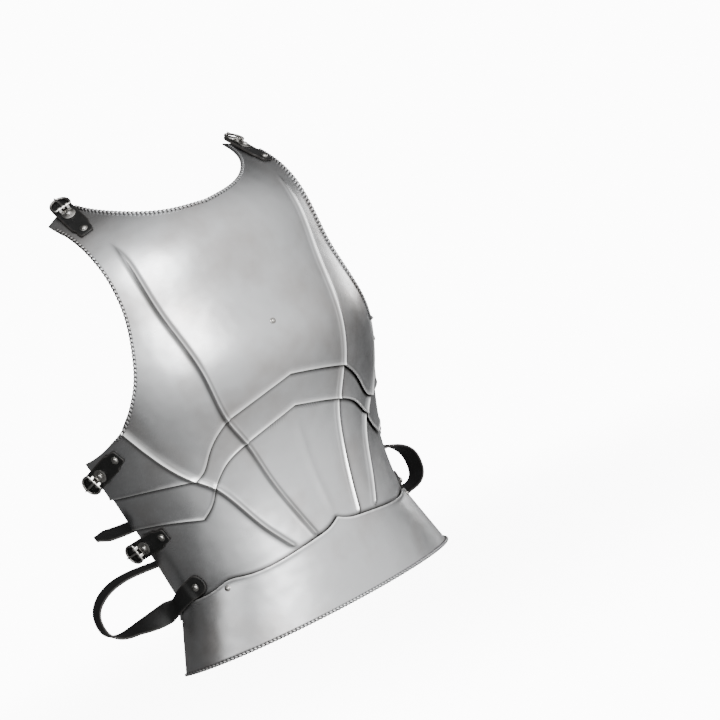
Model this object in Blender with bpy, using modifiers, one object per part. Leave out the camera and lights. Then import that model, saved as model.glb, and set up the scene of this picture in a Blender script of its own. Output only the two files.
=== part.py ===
"""Steel cuirass breastplate: a chest plate, a lame and a waist plate that lap downwards, a flared
skirt, six buckles on leather tabs and two waist straps.

Metres, +Z up. It stands on the hem of the skirt, the chest faces -Y and the wearer's left is +X.
A place on the body's form is (turn, share): degrees round from the front and a share of HEIGHT.
"""

import math

import bmesh
import bpy
import numpy as np
from mathutils import Matrix, Vector

# The body's form
HEIGHT = 0.500
HALF_WIDTH = 0.190
DEPTH = 0.135
HEM_HALF_WIDTH = 0.175
HEM_DEPTH = 0.116
HEM_SET_BACK = 0.0145
WAIST_BLEND = 0.007

# The steel
STEEL = 0.0015
LAP_AIR = 0.0010
LAP_RUN = 0.016
ROLL_RADIUS = 0.0021
RIDGE_HEIGHT = 0.0026
RIDGE_REACH = 0.0075
SIDE_TURN = 95.0
SKIRT_TURN = 90.0

# The rolled edges: where they stop, as a share of the neck's edge and in degrees at the armpit, and
# the corners of their section in degrees, with a flat side to stand on
ROLL_ENDS = 0.93
ARM_ROLL_END = 69.0
FLAT_TURN = 22.5
ROLL_TURNS = (140, 80, FLAT_TURN, -FLAT_TURN)

# The leather and its rivets
LEATHER = 0.0025
SEAT_GAP = 0.0003
TAB_WIDTH = 0.022
TAB_END = 0.010
TAB_STEP = 0.0055
RIVET_SPACING = 0.030
SHANK_RADIUS = 0.0016
DOME_RADIUS = 0.0042
DOME_HEIGHT = 0.0024
HEAD_RADIUS = 0.0032
HEAD_HEIGHT = 0.0010
SMALL_DOME_RADIUS = 0.0033
REAR_AIR = 0.0013
CENTRE_AIR = 0.0022
TAB_AIR = 0.0005
TAB_LEAVES = 0.006
TAB_LOBE_STEP = 0.0025
TAB_FLARE = (0.5, 1.5)
LOBE_STATIONS = (0.98, 0.8)
TIP_STATIONS = (0.6, 0.92)
RIVET_SIDES = 8
DOME_SHOULDER = (0.72, 0.66)
DRILL_LENGTH = 0.024

# The buckles, measured from the bar
BAR_RADIUS = 0.0014
BAR_CLEARANCE = 0.0003
KNUCKLE_WALL = 0.0009
KNUCKLE_WIDTH = 0.0030
KNUCKLE_PLACE = 0.0046
KNUCKLE_SET_IN = 0.0002
CHAPE_RADIUS = 0.0075
CHAPE_STEEL = 0.0012
CHAPE_TO_BAR = 0.0105
RING_RADIUS = 0.0105
RING_TO_BAR = 0.0060
TONGUE_WIDTH = 0.0026
TONGUE_STEEL = 0.0009

# The waist straps
STRAP_WIDTH = 0.024
STRAP_REACH = 0.080
STRAP_ON_BODY = 0.041
STRAP_RISE = (0.0055, 0.0120)
STRAP_BOW = 0.0004
STRAP_LEAN = 0.19
STRAP_TIP = 0.45

# Sections of the body from the waist up, in shares of the named sizes:
# height of HEIGHT, half width of HALF_WIDTH, depth and the centre's step forward of DEPTH
SECTIONS = [
    (0.15, 0.770, 0.810, -0.065),
    (0.28, 0.810, 0.810, -0.085),
    (0.42, 0.900, 0.835, 0.000),
    (0.56, 0.980, 1.000, 0.040),
    (0.70, 1.000, 0.955, 0.050),
    (0.82, 0.975, 0.900, 0.090),
    (0.92, 0.900, 0.700, 0.080),
    (1.00, 0.740, 0.400, 0.000),
]

# Raised creases: (turn, share) from the waist upwards
LONG_RIDGE = [
    (8.6, 0.100), (11.5, 0.160), (15.0, 0.230), (18.5, 0.310), (22.0, 0.400),
    (26.3, 0.463), (28.7, 0.560), (31.3, 0.680), (34.7, 0.800), (37.0, 0.870), (43.0, 0.935), (51.0, 0.985),
]
LONG_RIDGE_FADE = (0.820, 0.880)
WAIST_RIDGE_FADE = (0.160, 0.190)
SIDE_RIDGE = [
    (17.0, 0.100), (21.8, 0.153), (29.5, 0.222), (36.5, 0.308), (40.2, 0.342),
    (46.0, 0.374), (55.5, 0.440), (64.5, 0.530),
]

# Lower edge of the chest plate: from the centre to the ridge's foot, on to the cusp, out to the side
CHEST_CENTRE_EDGE = [(0.0, 0.496), (13.0, 0.480), (26.3, 0.463)]
CHEST_STEP_EDGE = [(26.3, 0.463), (31.5, 0.444), (37.0, 0.414), (42.0, 0.383), (46.0, 0.374)]
CHEST_WING_EDGE = [(46.0, 0.374), (57.0, 0.386), (70.0, 0.397), (SIDE_TURN, 0.408)]

# Lower edge of the lame: centre, step, cusp and side
LAME_CENTRE_EDGE = [(0.0, 0.430), (9.0, 0.418), (22.0, 0.400)]
LAME_STEP_EDGE = [(22.0, 0.400), (32.0, 0.379), (40.2, 0.342)]
LAME_CUSP_EDGE = [(40.2, 0.342), (44.5, 0.313), (51.0, 0.291)]
LAME_WING_EDGE = [(51.0, 0.291), (62.0, 0.307), (75.0, 0.320), (SIDE_TURN, 0.328)]

# Upper edge of the skirt, from its centre cusp to the side
SKIRT_TOP_EDGE = [
    (0.0, 0.174), (5.0, 0.162), (11.0, 0.156), (22.0, 0.149), (36.0, 0.143),
    (48.0, 0.147), (56.0, 0.152), (63.0, 0.144), (72.0, 0.138), (SKIRT_TURN, 0.138),
]

# Neck and arm openings of the chest plate
NECK_EDGE = [(0.0, 0.885), (16.5, 0.900), (27.5, 0.928), (37.5, 0.962), (45.5, 0.995)]
TIP_EDGE = [(45.5, 0.995), (60.0, 0.965)]
ARM_EDGE = [
    (60.0, 0.965), (51.5, 0.920), (46.5, 0.860), (44.2, 0.790), (44.0, 0.730), (46.5, 0.665),
    (51.5, 0.603), (57.5, 0.562), (64.5, 0.530),
]
ARMPIT_EDGE = [(64.5, 0.530), (72.5, 0.514), (83.0, 0.502), (SIDE_TURN, 0.498)]

# Where the lame and the waist plate reach up under the chest plate to the centre rivet
TONGUE_SHARE = 0.625
TONGUE_TURN = 17.0
CENTRE_RIVET = (0.0, 0.604)
SKIRT_RIVET = (57.0, 0.137)
WAIST_PLATE_FOOT = 0.108
WAIST_BAND = 0.178
HEM_BAND = 0.125

# How the grids run: the level rows of the waist plate and how its centre rows crowd, the skirt's
# first row, the chest's row from the side ridge, and the lines beside a ridge, each the lesser of a
# share of RIDGE_REACH and a share of the row
WAIST_LEVELS = (0.136, 0.150, 0.164)
WAIST_CROWD = 1.35
HEM_FIRST = 0.08
SIDE_SPLIT = 0.30
NEAR_RIDGE = ((0.45, 0.12), (1.1, 0.26))
LOW_RIDGE_POINTS = 5

# Hidden laps: the lame's corner past the side ridge in degrees, and the waist plate's laps at the
# side ridge and at the cusp in shares of LAP_RUN
CUSP_TOP_TURN = 6.0
SIDE_LAP = 0.6
CUSP_LAP = 1.2

# Joining distance of mirrored halves, and the step that goes over the body
MIRROR_JOIN = 0.00005
WALK_STEP = 0.002

# Waist straps: the rivet, the place they run to over the skirt's edge, then the free loop past the
# side: how far out, back and up from there in shares of STRAP_REACH, and the twist in degrees
STRAP_RIVET = (73.0, 0.167)
STRAP_HEADING = (95.0, 0.138)
STRAP_LOOP = [
    (0.110, 0.190, -0.040, 30.0), (0.290, 0.310, -0.060, 65.0), (0.500, 0.375, -0.065, 90.0),
    (0.710, 0.416, -0.055, 90.0), (0.860, 0.445, 0.040, 90.0), (0.905, 0.453, 0.190, 90.0),
    (0.875, 0.447, 0.365, 90.0), (0.735, 0.421, 0.515, 90.0), (0.525, 0.381, 0.605, 90.0),
    (0.200, 0.320, 0.630, 90.0), (-0.140, 0.256, 0.605, 90.0), (-0.415, 0.205, 0.625, 90.0),
    (-0.580, 0.175, 0.755, 90.0), (-0.620, 0.165, 0.915, 90.0), (-0.565, 0.175, 1.075, 90.0),
    (-0.380, 0.213, 1.177, 90.0), (-0.015, 0.279, 1.203, 90.0), (0.475, 0.371, 1.253, 90.0),
]

# Buckles: place of the tab's rivet, a place that the tab points to, the plate it lies on and
# that plate's layer
BUCKLES = [
    ("shoulder", (44.0, 0.925), (48.5, 0.975), "chest_plate", 2),
    ("chest_side", (73.0, 0.484), (90.5, 0.464), "chest_plate", 2),
    ("waist_side", (75.5, 0.292), (92.0, 0.286), "waist_plate", 0),
]
SIDES = (("right", -1.0), ("left", 1.0))


def clear_scene():
    for thing in list(bpy.data.objects):
        bpy.data.objects.remove(thing, do_unlink=True)


def new_collection(name):
    group = bpy.data.collections.new(name)
    bpy.context.scene.collection.children.link(group)
    return group


def new_material(name, colour, metallic, roughness):
    material = bpy.data.materials.new(name)
    material.use_nodes = True
    shader = material.node_tree.nodes["Principled BSDF"]
    shader.inputs["Base Color"].default_value = (*colour, 1.0)
    shader.inputs["Metallic"].default_value = metallic
    shader.inputs["Roughness"].default_value = roughness
    return material


def spline(xs, rows):
    """Natural cubic curve through rows of values at xs, straight on beyond both ends."""
    xs = np.array(xs, float)
    rows = np.array(rows, float)
    gaps = np.diff(xs)
    slopes = np.diff(rows, axis=0) / gaps[:, None]
    system = np.eye(len(xs))
    bends = np.zeros_like(rows)
    for i in range(1, len(xs) - 1):
        system[i, i - 1:i + 2] = gaps[i - 1] / 6, (gaps[i - 1] + gaps[i]) / 3, gaps[i] / 6
        bends[i] = slopes[i] - slopes[i - 1]
    bends = np.linalg.solve(system, bends)

    def read(x):
        inside = min(max(x, xs[0]), xs[-1])
        i = min(int(np.searchsorted(xs, inside, side="right")) - 1, len(xs) - 2)
        gap = gaps[i]
        a = (xs[i + 1] - inside) / gap
        b = 1 - a
        value = a * rows[i] + b * rows[i + 1]
        value = value + ((a ** 3 - a) * bends[i] + (b ** 3 - b) * bends[i + 1]) * gap ** 2 / 6
        if x != inside:
            slope = slopes[i] + ((1 - 3 * a ** 2) * bends[i] + (3 * b ** 2 - 1) * bends[i + 1]) * gap / 6
            value = value + slope * (x - inside)
        return value

    return read


def along(points):
    """Smooth line through (turn, share) points, read from 0 at its start to 1 at its end."""
    spots = np.array([(HALF_WIDTH * math.radians(turn), HEIGHT * share) for turn, share in points])
    runs = np.concatenate([[0.0], np.cumsum(np.linalg.norm(np.diff(spots, axis=0), axis=1))])
    return spline(runs / runs[-1], points)


def lap(layer):
    """How far a plate's inner skin lies off the body: 0 waist plate, 1 lame and skirt, 2 chest."""
    return layer * (STEEL + LAP_AIR)


FRONT = HEM_DEPTH - HEM_SET_BACK + lap(1) + ROLL_RADIUS
BODY = spline([row[0] for row in SECTIONS], [row[1:] for row in SECTIONS])
WAIST_SHARE = SECTIONS[0][0]


def section(share):
    """Half width, depth and step forward of the body's half ellipse at a height."""
    half, depth, step = BODY(max(share, WAIST_SHARE)) * (HALF_WIDTH, DEPTH, DEPTH)
    blend = WAIST_BLEND / HEIGHT
    if share >= WAIST_SHARE + blend:
        return half, depth, step
    above = np.array(BODY(share) * (HALF_WIDTH, DEPTH, DEPTH))
    waist = np.array(BODY(WAIST_SHARE) * (HALF_WIDTH, DEPTH, DEPTH))
    hem = np.array((HEM_HALF_WIDTH, HEM_DEPTH, -HEM_SET_BACK))
    below = hem + (waist - hem) * share / WAIST_SHARE
    mix = min(max((share - WAIST_SHARE + blend) / (2 * blend), 0.0), 1.0)
    mix = mix * mix * (3 - 2 * mix)
    return tuple(below + (above - below) * mix)


def bare_form(turn, share):
    half, depth, step = section(share)
    angle = math.radians(turn)
    return Vector((half * math.sin(angle), FRONT - step - depth * math.cos(angle), share * HEIGHT))


def form_normal(turn, share):
    across = bare_form(turn + 0.2, share) - bare_form(turn - 0.2, share)
    up = bare_form(turn, share + 0.002) - bare_form(turn, share - 0.002)
    return across.cross(up).normalized()


def ridge_line(points, count=60):
    read = along(points)
    return [tuple(read(k / count)) for k in range(count + 1)]


RIDGES = [ridge_line(LONG_RIDGE), ridge_line(SIDE_RIDGE)]
RIDGE_SPOTS = [np.array([bare_form(*place) for place in line]) for line in RIDGES]


def ridge_lift(turn, share):
    """How far the creases raise the steel at a place: a sharp crest with hollow flanks."""
    here = np.array(bare_form(abs(turn), share))
    lift = 0.0
    for number, spots in enumerate(RIDGE_SPOTS):
        starts, runs = spots[:-1], np.diff(spots, axis=0)
        shares = np.clip(((here - starts) * runs).sum(1) / (runs ** 2).sum(1), 0.0, 1.0)
        reach = np.linalg.norm(starts + runs * shares[:, None] - here, axis=1).min()
        side = max(0.0, 1.0 - reach / RIDGE_REACH)
        height = RIDGE_HEIGHT * side ** 1.5
        if number == 0:
            low, high = LONG_RIDGE_FADE
            height *= min(max((high - share) / (high - low), 0.0), 1.0)
        low, high = WAIST_RIDGE_FADE
        height *= min(max((share - low) / (high - low), 0.0), 1.0)
        lift = max(lift, height)
    return lift


def form(turn, share, lift=0.0):
    """A place on the creased body, lifted off it by a distance."""
    rise = lift + ridge_lift(turn, share)
    return bare_form(turn, share) + form_normal(turn, share) * rise


def places(line, count):
    """Evenly spaced places along a (turn, share) line."""
    read = along(line)
    return [np.array(read(k / count)) for k in range(count + 1)]


def raised(line, rise):
    """The same line, a distance higher on the body."""
    return [(turn, share + rise / HEIGHT) for turn, share in line]


def ridge_between(ridge, low, high):
    """The stretch of a ridge between two heights."""
    shares = [share for _, share in ridge]
    turn_at = spline(shares, [[turn] for turn, _ in ridge])
    inner = [point for point in ridge if low < point[1] < high]
    return [(float(turn_at(low)[0]), low), *inner, (float(turn_at(high)[0]), high)]


def patch(bottom, top, left, right):
    """Fills four edges, lists of places that meet at the corners: result[i][j], j upwards."""
    wide, tall = len(bottom) - 1, len(left) - 1
    filled = []
    for i in range(wide + 1):
        u = i / wide
        column = []
        for j in range(tall + 1):
            v = j / tall
            ruled = (1 - v) * bottom[i] + v * top[i] + (1 - u) * left[j] + u * right[j]
            corners = ((1 - u) * (1 - v) * bottom[0] + u * (1 - v) * bottom[-1]
                       + (1 - u) * v * top[0] + u * v * top[-1])
            column.append(ruled - corners)
        filled.append(column)
    return filled


def crease_marks(length, wide, crest_start, crest_end):
    """Where a row's grid lines lie: close beside a crease at its ends, even between."""
    near = [min(reach * RIDGE_REACH, share * length) for reach, share in NEAR_RIDGE]
    marks = [length * i / wide for i in range(wide + 1)]
    first, last = 0, wide
    if crest_start:
        marks[1:3] = near
        first = 2
    if crest_end:
        marks[wide - 2:wide] = [length - near[1], length - near[0]]
        last = wide - 2
    for i in range(first + 1, last):
        marks[i] = marks[first] + (marks[last] - marks[first]) * (i - first) / (last - first)
    return marks


def draw_close(columns, crest_start, crest_end, rows=None):
    """Draws grid lines close to the creases that bound a patch, row by row."""
    wide = len(columns) - 1
    for j in rows or range(len(columns[0])):
        row = [columns[i][j] for i in range(wide + 1)]
        spots = np.array([bare_form(*place) for place in row])
        runs = np.concatenate([[0.0], np.cumsum(np.linalg.norm(np.diff(spots, axis=0), axis=1))])
        marks = crease_marks(runs[-1], wide, crest_start, crest_end)
        for i in range(1, wide):
            columns[i][j] = np.array([np.interp(marks[i], runs, [p[axis] for p in row]) for axis in (0, 1)])
    return columns


def roll_rows(centre, out, normal):
    """Section of a rolled edge from the outer skin round to the inner skin."""
    start = math.pi + math.asin((ROLL_RADIUS - STEEL) / ROLL_RADIUS)
    turns = [start] + [math.radians(a) for a in ROLL_TURNS] + [-math.pi / 2]
    return [centre + ROLL_RADIUS * (math.cos(a) * out + math.sin(a) * normal) for a in turns]


def roll_at(cells, inner, loop, rolled, k, level):
    """The rolled section at place k of the loop; a level roll has its flat side down at z = 0."""
    key = loop[k]
    before, after = loop[max(k - 1, 0)], loop[min(k + 1, len(loop) - 1)]
    run = inner[after if after in rolled else key] - inner[before if before in rolled else key]
    normal = form_normal(*cells[key])
    if key[0] == 0:
        run = Vector((1.0 if k == 0 else -1.0, 0.0, 0.0))
        normal = Vector((0.0, normal.y, normal.z)).normalized()
    if level:
        out = Vector((0.0, 0.0, -1.0))
        normal = Vector((normal.x, normal.y, 0.0)).normalized()
    else:
        out = run.cross(normal).normalized()
    centre = inner[key] + (normal - out) * ROLL_RADIUS
    if level:
        centre.z = ROLL_RADIUS * math.cos(math.radians(FLAT_TURN))
    return roll_rows(centre, out, normal)


def plate_half(cells, loop, rolled, layer, level=False):
    """Half of a plate as one mesh, open at x = 0.

    cells maps (i, j) to a place; loop lists the edge from the bottom centre round to the top
    centre; rolled holds the places of the loop whose edge is rolled over.
    """
    base = lap(layer)
    outer, inner, rows = {}, {}, {}
    for key, (turn, share) in cells.items():
        outer[key] = form(turn, share, base + STEEL)
        inner[key] = form(turn, share, base)
        if key[0] == 0:
            outer[key].x = inner[key].x = 0.0
    for k, key in enumerate(loop):
        if key in rolled:
            rows[key] = roll_at(cells, inner, loop, rolled, k, level)
    for key, row in rows.items():
        outer[key], inner[key] = row[0], row[-1]
    bm = bmesh.new()
    front = {key: bm.verts.new(spot) for key, spot in outer.items()}
    back = {key: bm.verts.new(spot) for key, spot in inner.items()}
    for i, j in cells:
        ring = [(i, j), (i + 1, j), (i + 1, j + 1), (i, j + 1)]
        if all(key in cells for key in ring):
            bm.faces.new([front[key] for key in ring])
            bm.faces.new([back[key] for key in reversed(ring)])
    walls = []
    for key in loop:
        between = [bm.verts.new(spot) for spot in rows.get(key, [])[1:-1]]
        walls.append([front[key], *between, back[key]])
    for a, b in zip(walls, walls[1:]):
        if len(a) == len(b):
            for row in range(len(a) - 1):
                bm.faces.new((a[row], a[row + 1], b[row + 1], b[row]))
            continue
        bm.faces.new((a[0], a[-1], b[-1], b[0]))
        bm.faces.new(a if len(a) > len(b) else b[::-1])
    return bm


def add_mesh(name, bm, group, material):
    mesh = bpy.data.meshes.new(name)
    bm.to_mesh(mesh)
    bm.free()
    mesh.materials.append(material)
    thing = bpy.data.objects.new(name, mesh)
    group.objects.link(thing)
    return thing


def add_mirrored(name, bm, group, material):
    thing = add_mesh(name, bm, group, material)
    mirror = thing.modifiers.new("other half", "MIRROR")
    mirror.merge_threshold = MIRROR_JOIN
    return thing


def grid_cells(*blocks):
    """Joins patches, each (first column, first row, columns), into one table of places."""
    cells = {}
    for first_i, first_j, columns in blocks:
        for i, column in enumerate(columns):
            for j, (turn, share) in enumerate(column):
                cells[(first_i + i, first_j + j)] = (float(turn), float(share))
    return cells


def side_loop(across, tall):
    """The edge of a plain half plate: along the bottom, up the side, back along the top."""
    loop = [(i, 0) for i in range(across + 1)]
    loop += [(across, j) for j in range(1, tall + 1)]
    return loop + [(i, tall) for i in range(across - 1, -1, -1)]


def build_chest_plate(group, steel):
    """Two rows of patches: below the side ridge, and between the neck and the arm opening."""
    middle, flank, wing, low, high = 7, 6, 8, 5, 8
    foot, cusp = CHEST_CENTRE_EDGE[-1], CHEST_WING_EDGE[0]
    long_ridge = along([point for point in LONG_RIDGE if point[1] >= foot[1]])
    side_ridge = along([point for point in SIDE_RIDGE if point[1] >= cusp[1]])
    arm = along(ARM_EDGE[::-1])
    marks = [SIDE_SPLIT * k / low for k in range(low)]
    marks += [SIDE_SPLIT + (1 - SIDE_SPLIT) * k / high for k in range(high + 1)]
    ridge_column = [np.array(long_ridge(mark)) for mark in marks]
    lowest, highest = CHEST_CENTRE_EDGE[0][1], NECK_EDGE[0][1]
    centre_column = [np.array((0.0, lowest + (highest - lowest) * mark)) for mark in marks]
    arm_column = [np.array(side_ridge(k / low)) for k in range(low)]
    arm_column += [np.array(arm(k / high)) for k in range(high + 1)]

    neck = along(NECK_EDGE)
    crown = [np.array(neck(k / (middle - 2) * ROLL_ENDS)) for k in range(middle - 1)]
    crown += [np.array(NECK_EDGE[-1]), ridge_column[-1]]
    tip = [ridge_column[-1] + (np.array(TIP_EDGE[1]) - ridge_column[-1]) * k / flank for k in range(flank + 1)]
    hem, step, wing_hem = (places(line, count) for line, count in (
        (CHEST_CENTRE_EDGE, middle), (CHEST_STEP_EDGE, flank), (CHEST_WING_EDGE, wing)))
    armpit = places(ARMPIT_EDGE, wing)
    side = [wing_hem[-1] + (armpit[-1] - wing_hem[-1]) * k / low for k in range(low + 1)]

    front = draw_close(patch(hem, crown, centre_column, ridge_column), False, True, range(len(marks) - 1))
    beside = patch(step, tip, ridge_column, arm_column)
    draw_close(beside, True, True, range(low + 1))
    draw_close(beside, True, False, range(low + 1, len(marks) - 1))
    under = draw_close(patch(wing_hem, armpit, arm_column[:low + 1], side), True, False)
    cells = grid_cells((0, 0, front), (middle, 0, beside), (middle + flank, 0, under))

    across, tall, edge = middle + flank + wing, low + high, middle + flank
    arm_keys = [(i, low) for i in range(across, edge, -1)] + [(edge, j) for j in range(low, tall + 1)]
    neck_keys = [(i, tall) for i in range(edge - 1, -1, -1)]
    loop = [(i, 0) for i in range(across + 1)] + [(across, j) for j in range(1, low)] + arm_keys + neck_keys
    rolled = {key for key in arm_keys if cells[key][0] < ARM_ROLL_END and key[1] < tall}
    rolled |= {key for key in neck_keys if key[0] < middle - 1}
    bm = plate_half(cells, loop, rolled, 2)
    return add_mirrored("chest_plate", bm, group, steel)


def tongue_rise(line, top_share):
    """Lifts the middle of a hidden upper edge to the centre rivet."""
    lifted = []
    for turn, share in line:
        mix = min(max(1.0 - turn / TONGUE_TURN, 0.0), 1.0)
        mix = mix * mix * (3 - 2 * mix)
        lifted.append(np.array((turn, share + (top_share - share) * mix)))
    return lifted


def build_lame(group, steel):
    """One strip in four patches that meet on the ridges."""
    middle, step, cusp, wing, tall = 7, 5, 3, 8, 4
    run = LAP_RUN / HEIGHT
    foot, turn_in = LAME_CENTRE_EDGE[-1], LAME_CUSP_EDGE[0]
    top_centre = [(turn, share) for turn, share in raised(CHEST_CENTRE_EDGE, LAP_RUN)]
    long_top = ridge_between(LONG_RIDGE, foot[1], CHEST_CENTRE_EDGE[-1][1] + run)
    side_top = ridge_between(SIDE_RIDGE, turn_in[1], CHEST_WING_EDGE[0][1] + run)
    top_centre[-1] = long_top[-1]
    top_step = [long_top[-1], *raised(CHEST_STEP_EDGE[1:-1], LAP_RUN), side_top[-1]]
    wing_top = raised(CHEST_WING_EDGE, LAP_RUN)
    cusp_top = [side_top[-1], (side_top[-1][0] + CUSP_TOP_TURN, wing_top[1][1]), wing_top[1]]

    centre = places(LAME_CENTRE_EDGE, middle)
    crown = tongue_rise(places(top_centre, middle), TONGUE_SHARE)
    centre_column = [centre[0] + (crown[0] - centre[0]) * k / tall for k in range(tall + 1)]
    long_column = places(long_top, tall)
    side_column = places(side_top, tall)
    cusp_column = places([LAME_CUSP_EDGE[-1], wing_top[1]], tall)
    end_column = places([LAME_WING_EDGE[-1], wing_top[-1]], tall)
    front = draw_close(patch(centre, crown, centre_column, long_column), False, True)
    beside = draw_close(patch(places(LAME_STEP_EDGE, step), places(top_step, step), long_column, side_column),
                        True, True)
    under = draw_close(patch(places(LAME_CUSP_EDGE, cusp), places(cusp_top, cusp), side_column, cusp_column),
                       True, False)
    back = patch(places(LAME_WING_EDGE, wing), places(wing_top[1:], wing), cusp_column, end_column)
    starts = np.cumsum([0, middle, step, cusp])
    cells = grid_cells(*((int(start), 0, block) for start, block in zip(starts, (front, beside, under, back))))
    bm = plate_half(cells, side_loop(middle + step + cusp + wing, tall), set(), 1)
    return add_mirrored("belly_lame", bm, group, steel)


def waist_row(share, counts):
    """One level row of places between the ridges and out to the side."""
    turns = [0.0]
    ends = [float(spline([p[1] for p in ridge], [[p[0]] for p in ridge])(share)[0])
            for ridge in (LONG_RIDGE[:LOW_RIDGE_POINTS], SIDE_RIDGE[:LOW_RIDGE_POINTS])]
    for end, count in zip([*ends, SIDE_TURN], counts):
        start = turns[-1]
        turns += [start + (end - start) * (k + 1) / count for k in range(count)]
    return [np.array((turn, share)) for turn in turns]


def build_waist_plate(group, steel):
    """Level rows inside the skirt, then patches between the ridges up under the lame."""
    counts = middle, between, outer = 6, 5, 7
    levels = [WAIST_PLATE_FOOT, *WAIST_LEVELS, WAIST_BAND]
    tall = 6
    run = LAP_RUN / HEIGHT
    long_top = ridge_between(LONG_RIDGE, WAIST_BAND, LAME_CENTRE_EDGE[-1][1] + run)
    side_top = ridge_between(SIDE_RIDGE, WAIST_BAND, LAME_CUSP_EDGE[0][1] + SIDE_LAP * run)
    rows = [waist_row(share, counts) for share in levels]
    base = rows[-1]
    bases = base[:middle + 1], base[middle:middle + between + 1], base[middle + between:]
    top_centre = raised(LAME_CENTRE_EDGE, LAP_RUN)
    top_centre[-1] = long_top[-1]
    top_step = [long_top[-1], *raised(LAME_STEP_EDGE[1:-1], LAP_RUN), side_top[-1]]
    top_outer = [side_top[-1], *raised(LAME_CUSP_EDGE[-1:], CUSP_LAP * LAP_RUN)]
    top_outer += raised(LAME_WING_EDGE[1:], LAP_RUN)
    crown = tongue_rise(places(top_centre, middle), TONGUE_SHARE)
    centre_column = [bases[0][0] + (crown[0] - bases[0][0]) * (1 - (1 - k / tall) ** WAIST_CROWD)
                     for k in range(tall + 1)]
    long_column, side_column = places(long_top, tall), places(side_top, tall)
    end_column = places([(SIDE_TURN, WAIST_BAND), top_outer[-1]], tall)
    front = draw_close(patch(bases[0], crown, centre_column, long_column), False, True, range(1, tall + 1))
    beside = draw_close(patch(bases[1], places(top_step, between), long_column, side_column), True, True,
                        range(1, tall + 1))
    back = draw_close(patch(bases[2], places(top_outer, outer), side_column, end_column), True, False,
                      range(1, tall + 1))
    low = len(levels) - 1
    band = [list(column) for column in zip(*rows)]
    cells = grid_cells((0, 0, band), (0, low, front), (middle, low, beside), (middle + between, low, back))
    bm = plate_half(cells, side_loop(sum(counts), low + tall), set(), 0)
    return add_mirrored("waist_plate", bm, group, steel)


def build_skirt(group, steel):
    """Flared band from the rolled hem up over the waist."""
    wide, low, high = 14, 2, 4
    turns = [SKIRT_TURN * k / wide for k in range(wide + 1)]
    top = spline([turn for turn, _ in SKIRT_TOP_EDGE], [[share] for _, share in SKIRT_TOP_EDGE])
    columns = []
    for turn in turns:
        edge = float(top(turn)[0])
        shares = [HEM_BAND * (HEM_FIRST + (1 - HEM_FIRST) * k / low) if k else 0.0 for k in range(low + 1)]
        shares += [HEM_BAND + (edge - HEM_BAND) * (k + 1) / high for k in range(high)]
        columns.append([np.array((turn, share)) for share in shares])
    hem_keys = {(i, 0) for i in range(wide + 1)}
    bm = plate_half(grid_cells((0, 0, columns)), side_loop(wide, low + high), hem_keys, 1, level=True)
    return add_mirrored("skirt_plate", bm, group, steel)


def walk(place, direction, distance):
    """Goes a distance over the body's form: the new place and the direction there."""
    steps = max(1, round(distance / WALK_STEP))
    turn, share = place
    for _ in range(steps):
        normal = form_normal(turn, share)
        direction = (direction - normal * direction.dot(normal)).normalized()
        across = (bare_form(turn + 0.1, share) - bare_form(turn - 0.1, share)) / 0.2
        up = (bare_form(turn, share + 0.001) - bare_form(turn, share - 0.001)) / 0.002
        goal = direction * distance / steps
        spans = np.array([[across.dot(across), across.dot(up)], [across.dot(up), up.dot(up)]])
        move = np.linalg.solve(spans, (goal.dot(across), goal.dot(up)))
        turn, share = turn + move[0], share + move[1]
    normal = form_normal(turn, share)
    direction = (direction - normal * direction.dot(normal)).normalized()
    return (float(turn), float(share)), direction


def seat(place, direction, lift):
    """Frame on the body: Y along the direction, Z off the skin, X across."""
    normal = form_normal(*place)
    ahead = (direction - normal * direction.dot(normal)).normalized()
    across = ahead.cross(normal)
    origin = bare_form(*place) + normal * lift
    return Matrix.Translation(origin) @ Matrix((across, ahead, normal)).transposed().to_4x4()


def turned(name, profile, steps, matrix, group, material):
    """A round piece from a profile of (radius, height) points, top to bottom."""
    mesh = bpy.data.meshes.new(name)
    mesh.from_pydata([(radius, 0.0, height) for radius, height in profile],
                     [(k, k + 1) for k in range(len(profile) - 1)], [])
    mesh.materials.append(material)
    thing = bpy.data.objects.new(name, mesh)
    group.objects.link(thing)
    thing.matrix_world = matrix
    screw = thing.modifiers.new("turn", "SCREW")
    screw.steps = screw.render_steps = steps
    screw.use_merge_vertices = True
    screw.merge_threshold = MIRROR_JOIN
    return thing


def add_rivet(name, matrix, grip, radius, group, material):
    """Domed rivet through a grip of leather and steel, hammered over at the back."""
    height = DOME_HEIGHT * radius / DOME_RADIUS
    profile = [
        (0.0, height), (DOME_SHOULDER[0] * radius, DOME_SHOULDER[1] * height), (radius, 0.0), (SHANK_RADIUS, 0.0),
        (SHANK_RADIUS, -grip), (HEAD_RADIUS, -grip), (0.0, -grip - HEAD_HEIGHT),
    ]
    return turned(name, profile, RIVET_SIDES, matrix, group, material)


def drill(thing, matrices, cutters, frame=Matrix.Identity(4)):
    """Rivet holes through a piece, one cutter object for all of them, placed in a frame."""
    bm = bmesh.new()
    for matrix in matrices:
        bmesh.ops.create_cone(bm, cap_ends=True, segments=RIVET_SIDES, radius1=SHANK_RADIUS + SEAT_GAP,
                              radius2=SHANK_RADIUS + SEAT_GAP, depth=DRILL_LENGTH, matrix=matrix)
    cutter = add_mesh(thing.name + "_drill", bm, cutters, thing.data.materials[0])
    cutter.matrix_world = frame
    cutter.hide_render = True
    cutter.display_type = "WIRE"
    cut = thing.modifiers.new("rivet holes", "BOOLEAN")
    cut.object = cutter
    cut.operation = "DIFFERENCE"
    cut.solver = "EXACT"
    thing.modifiers.new("flats", "TRIANGULATE")


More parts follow.
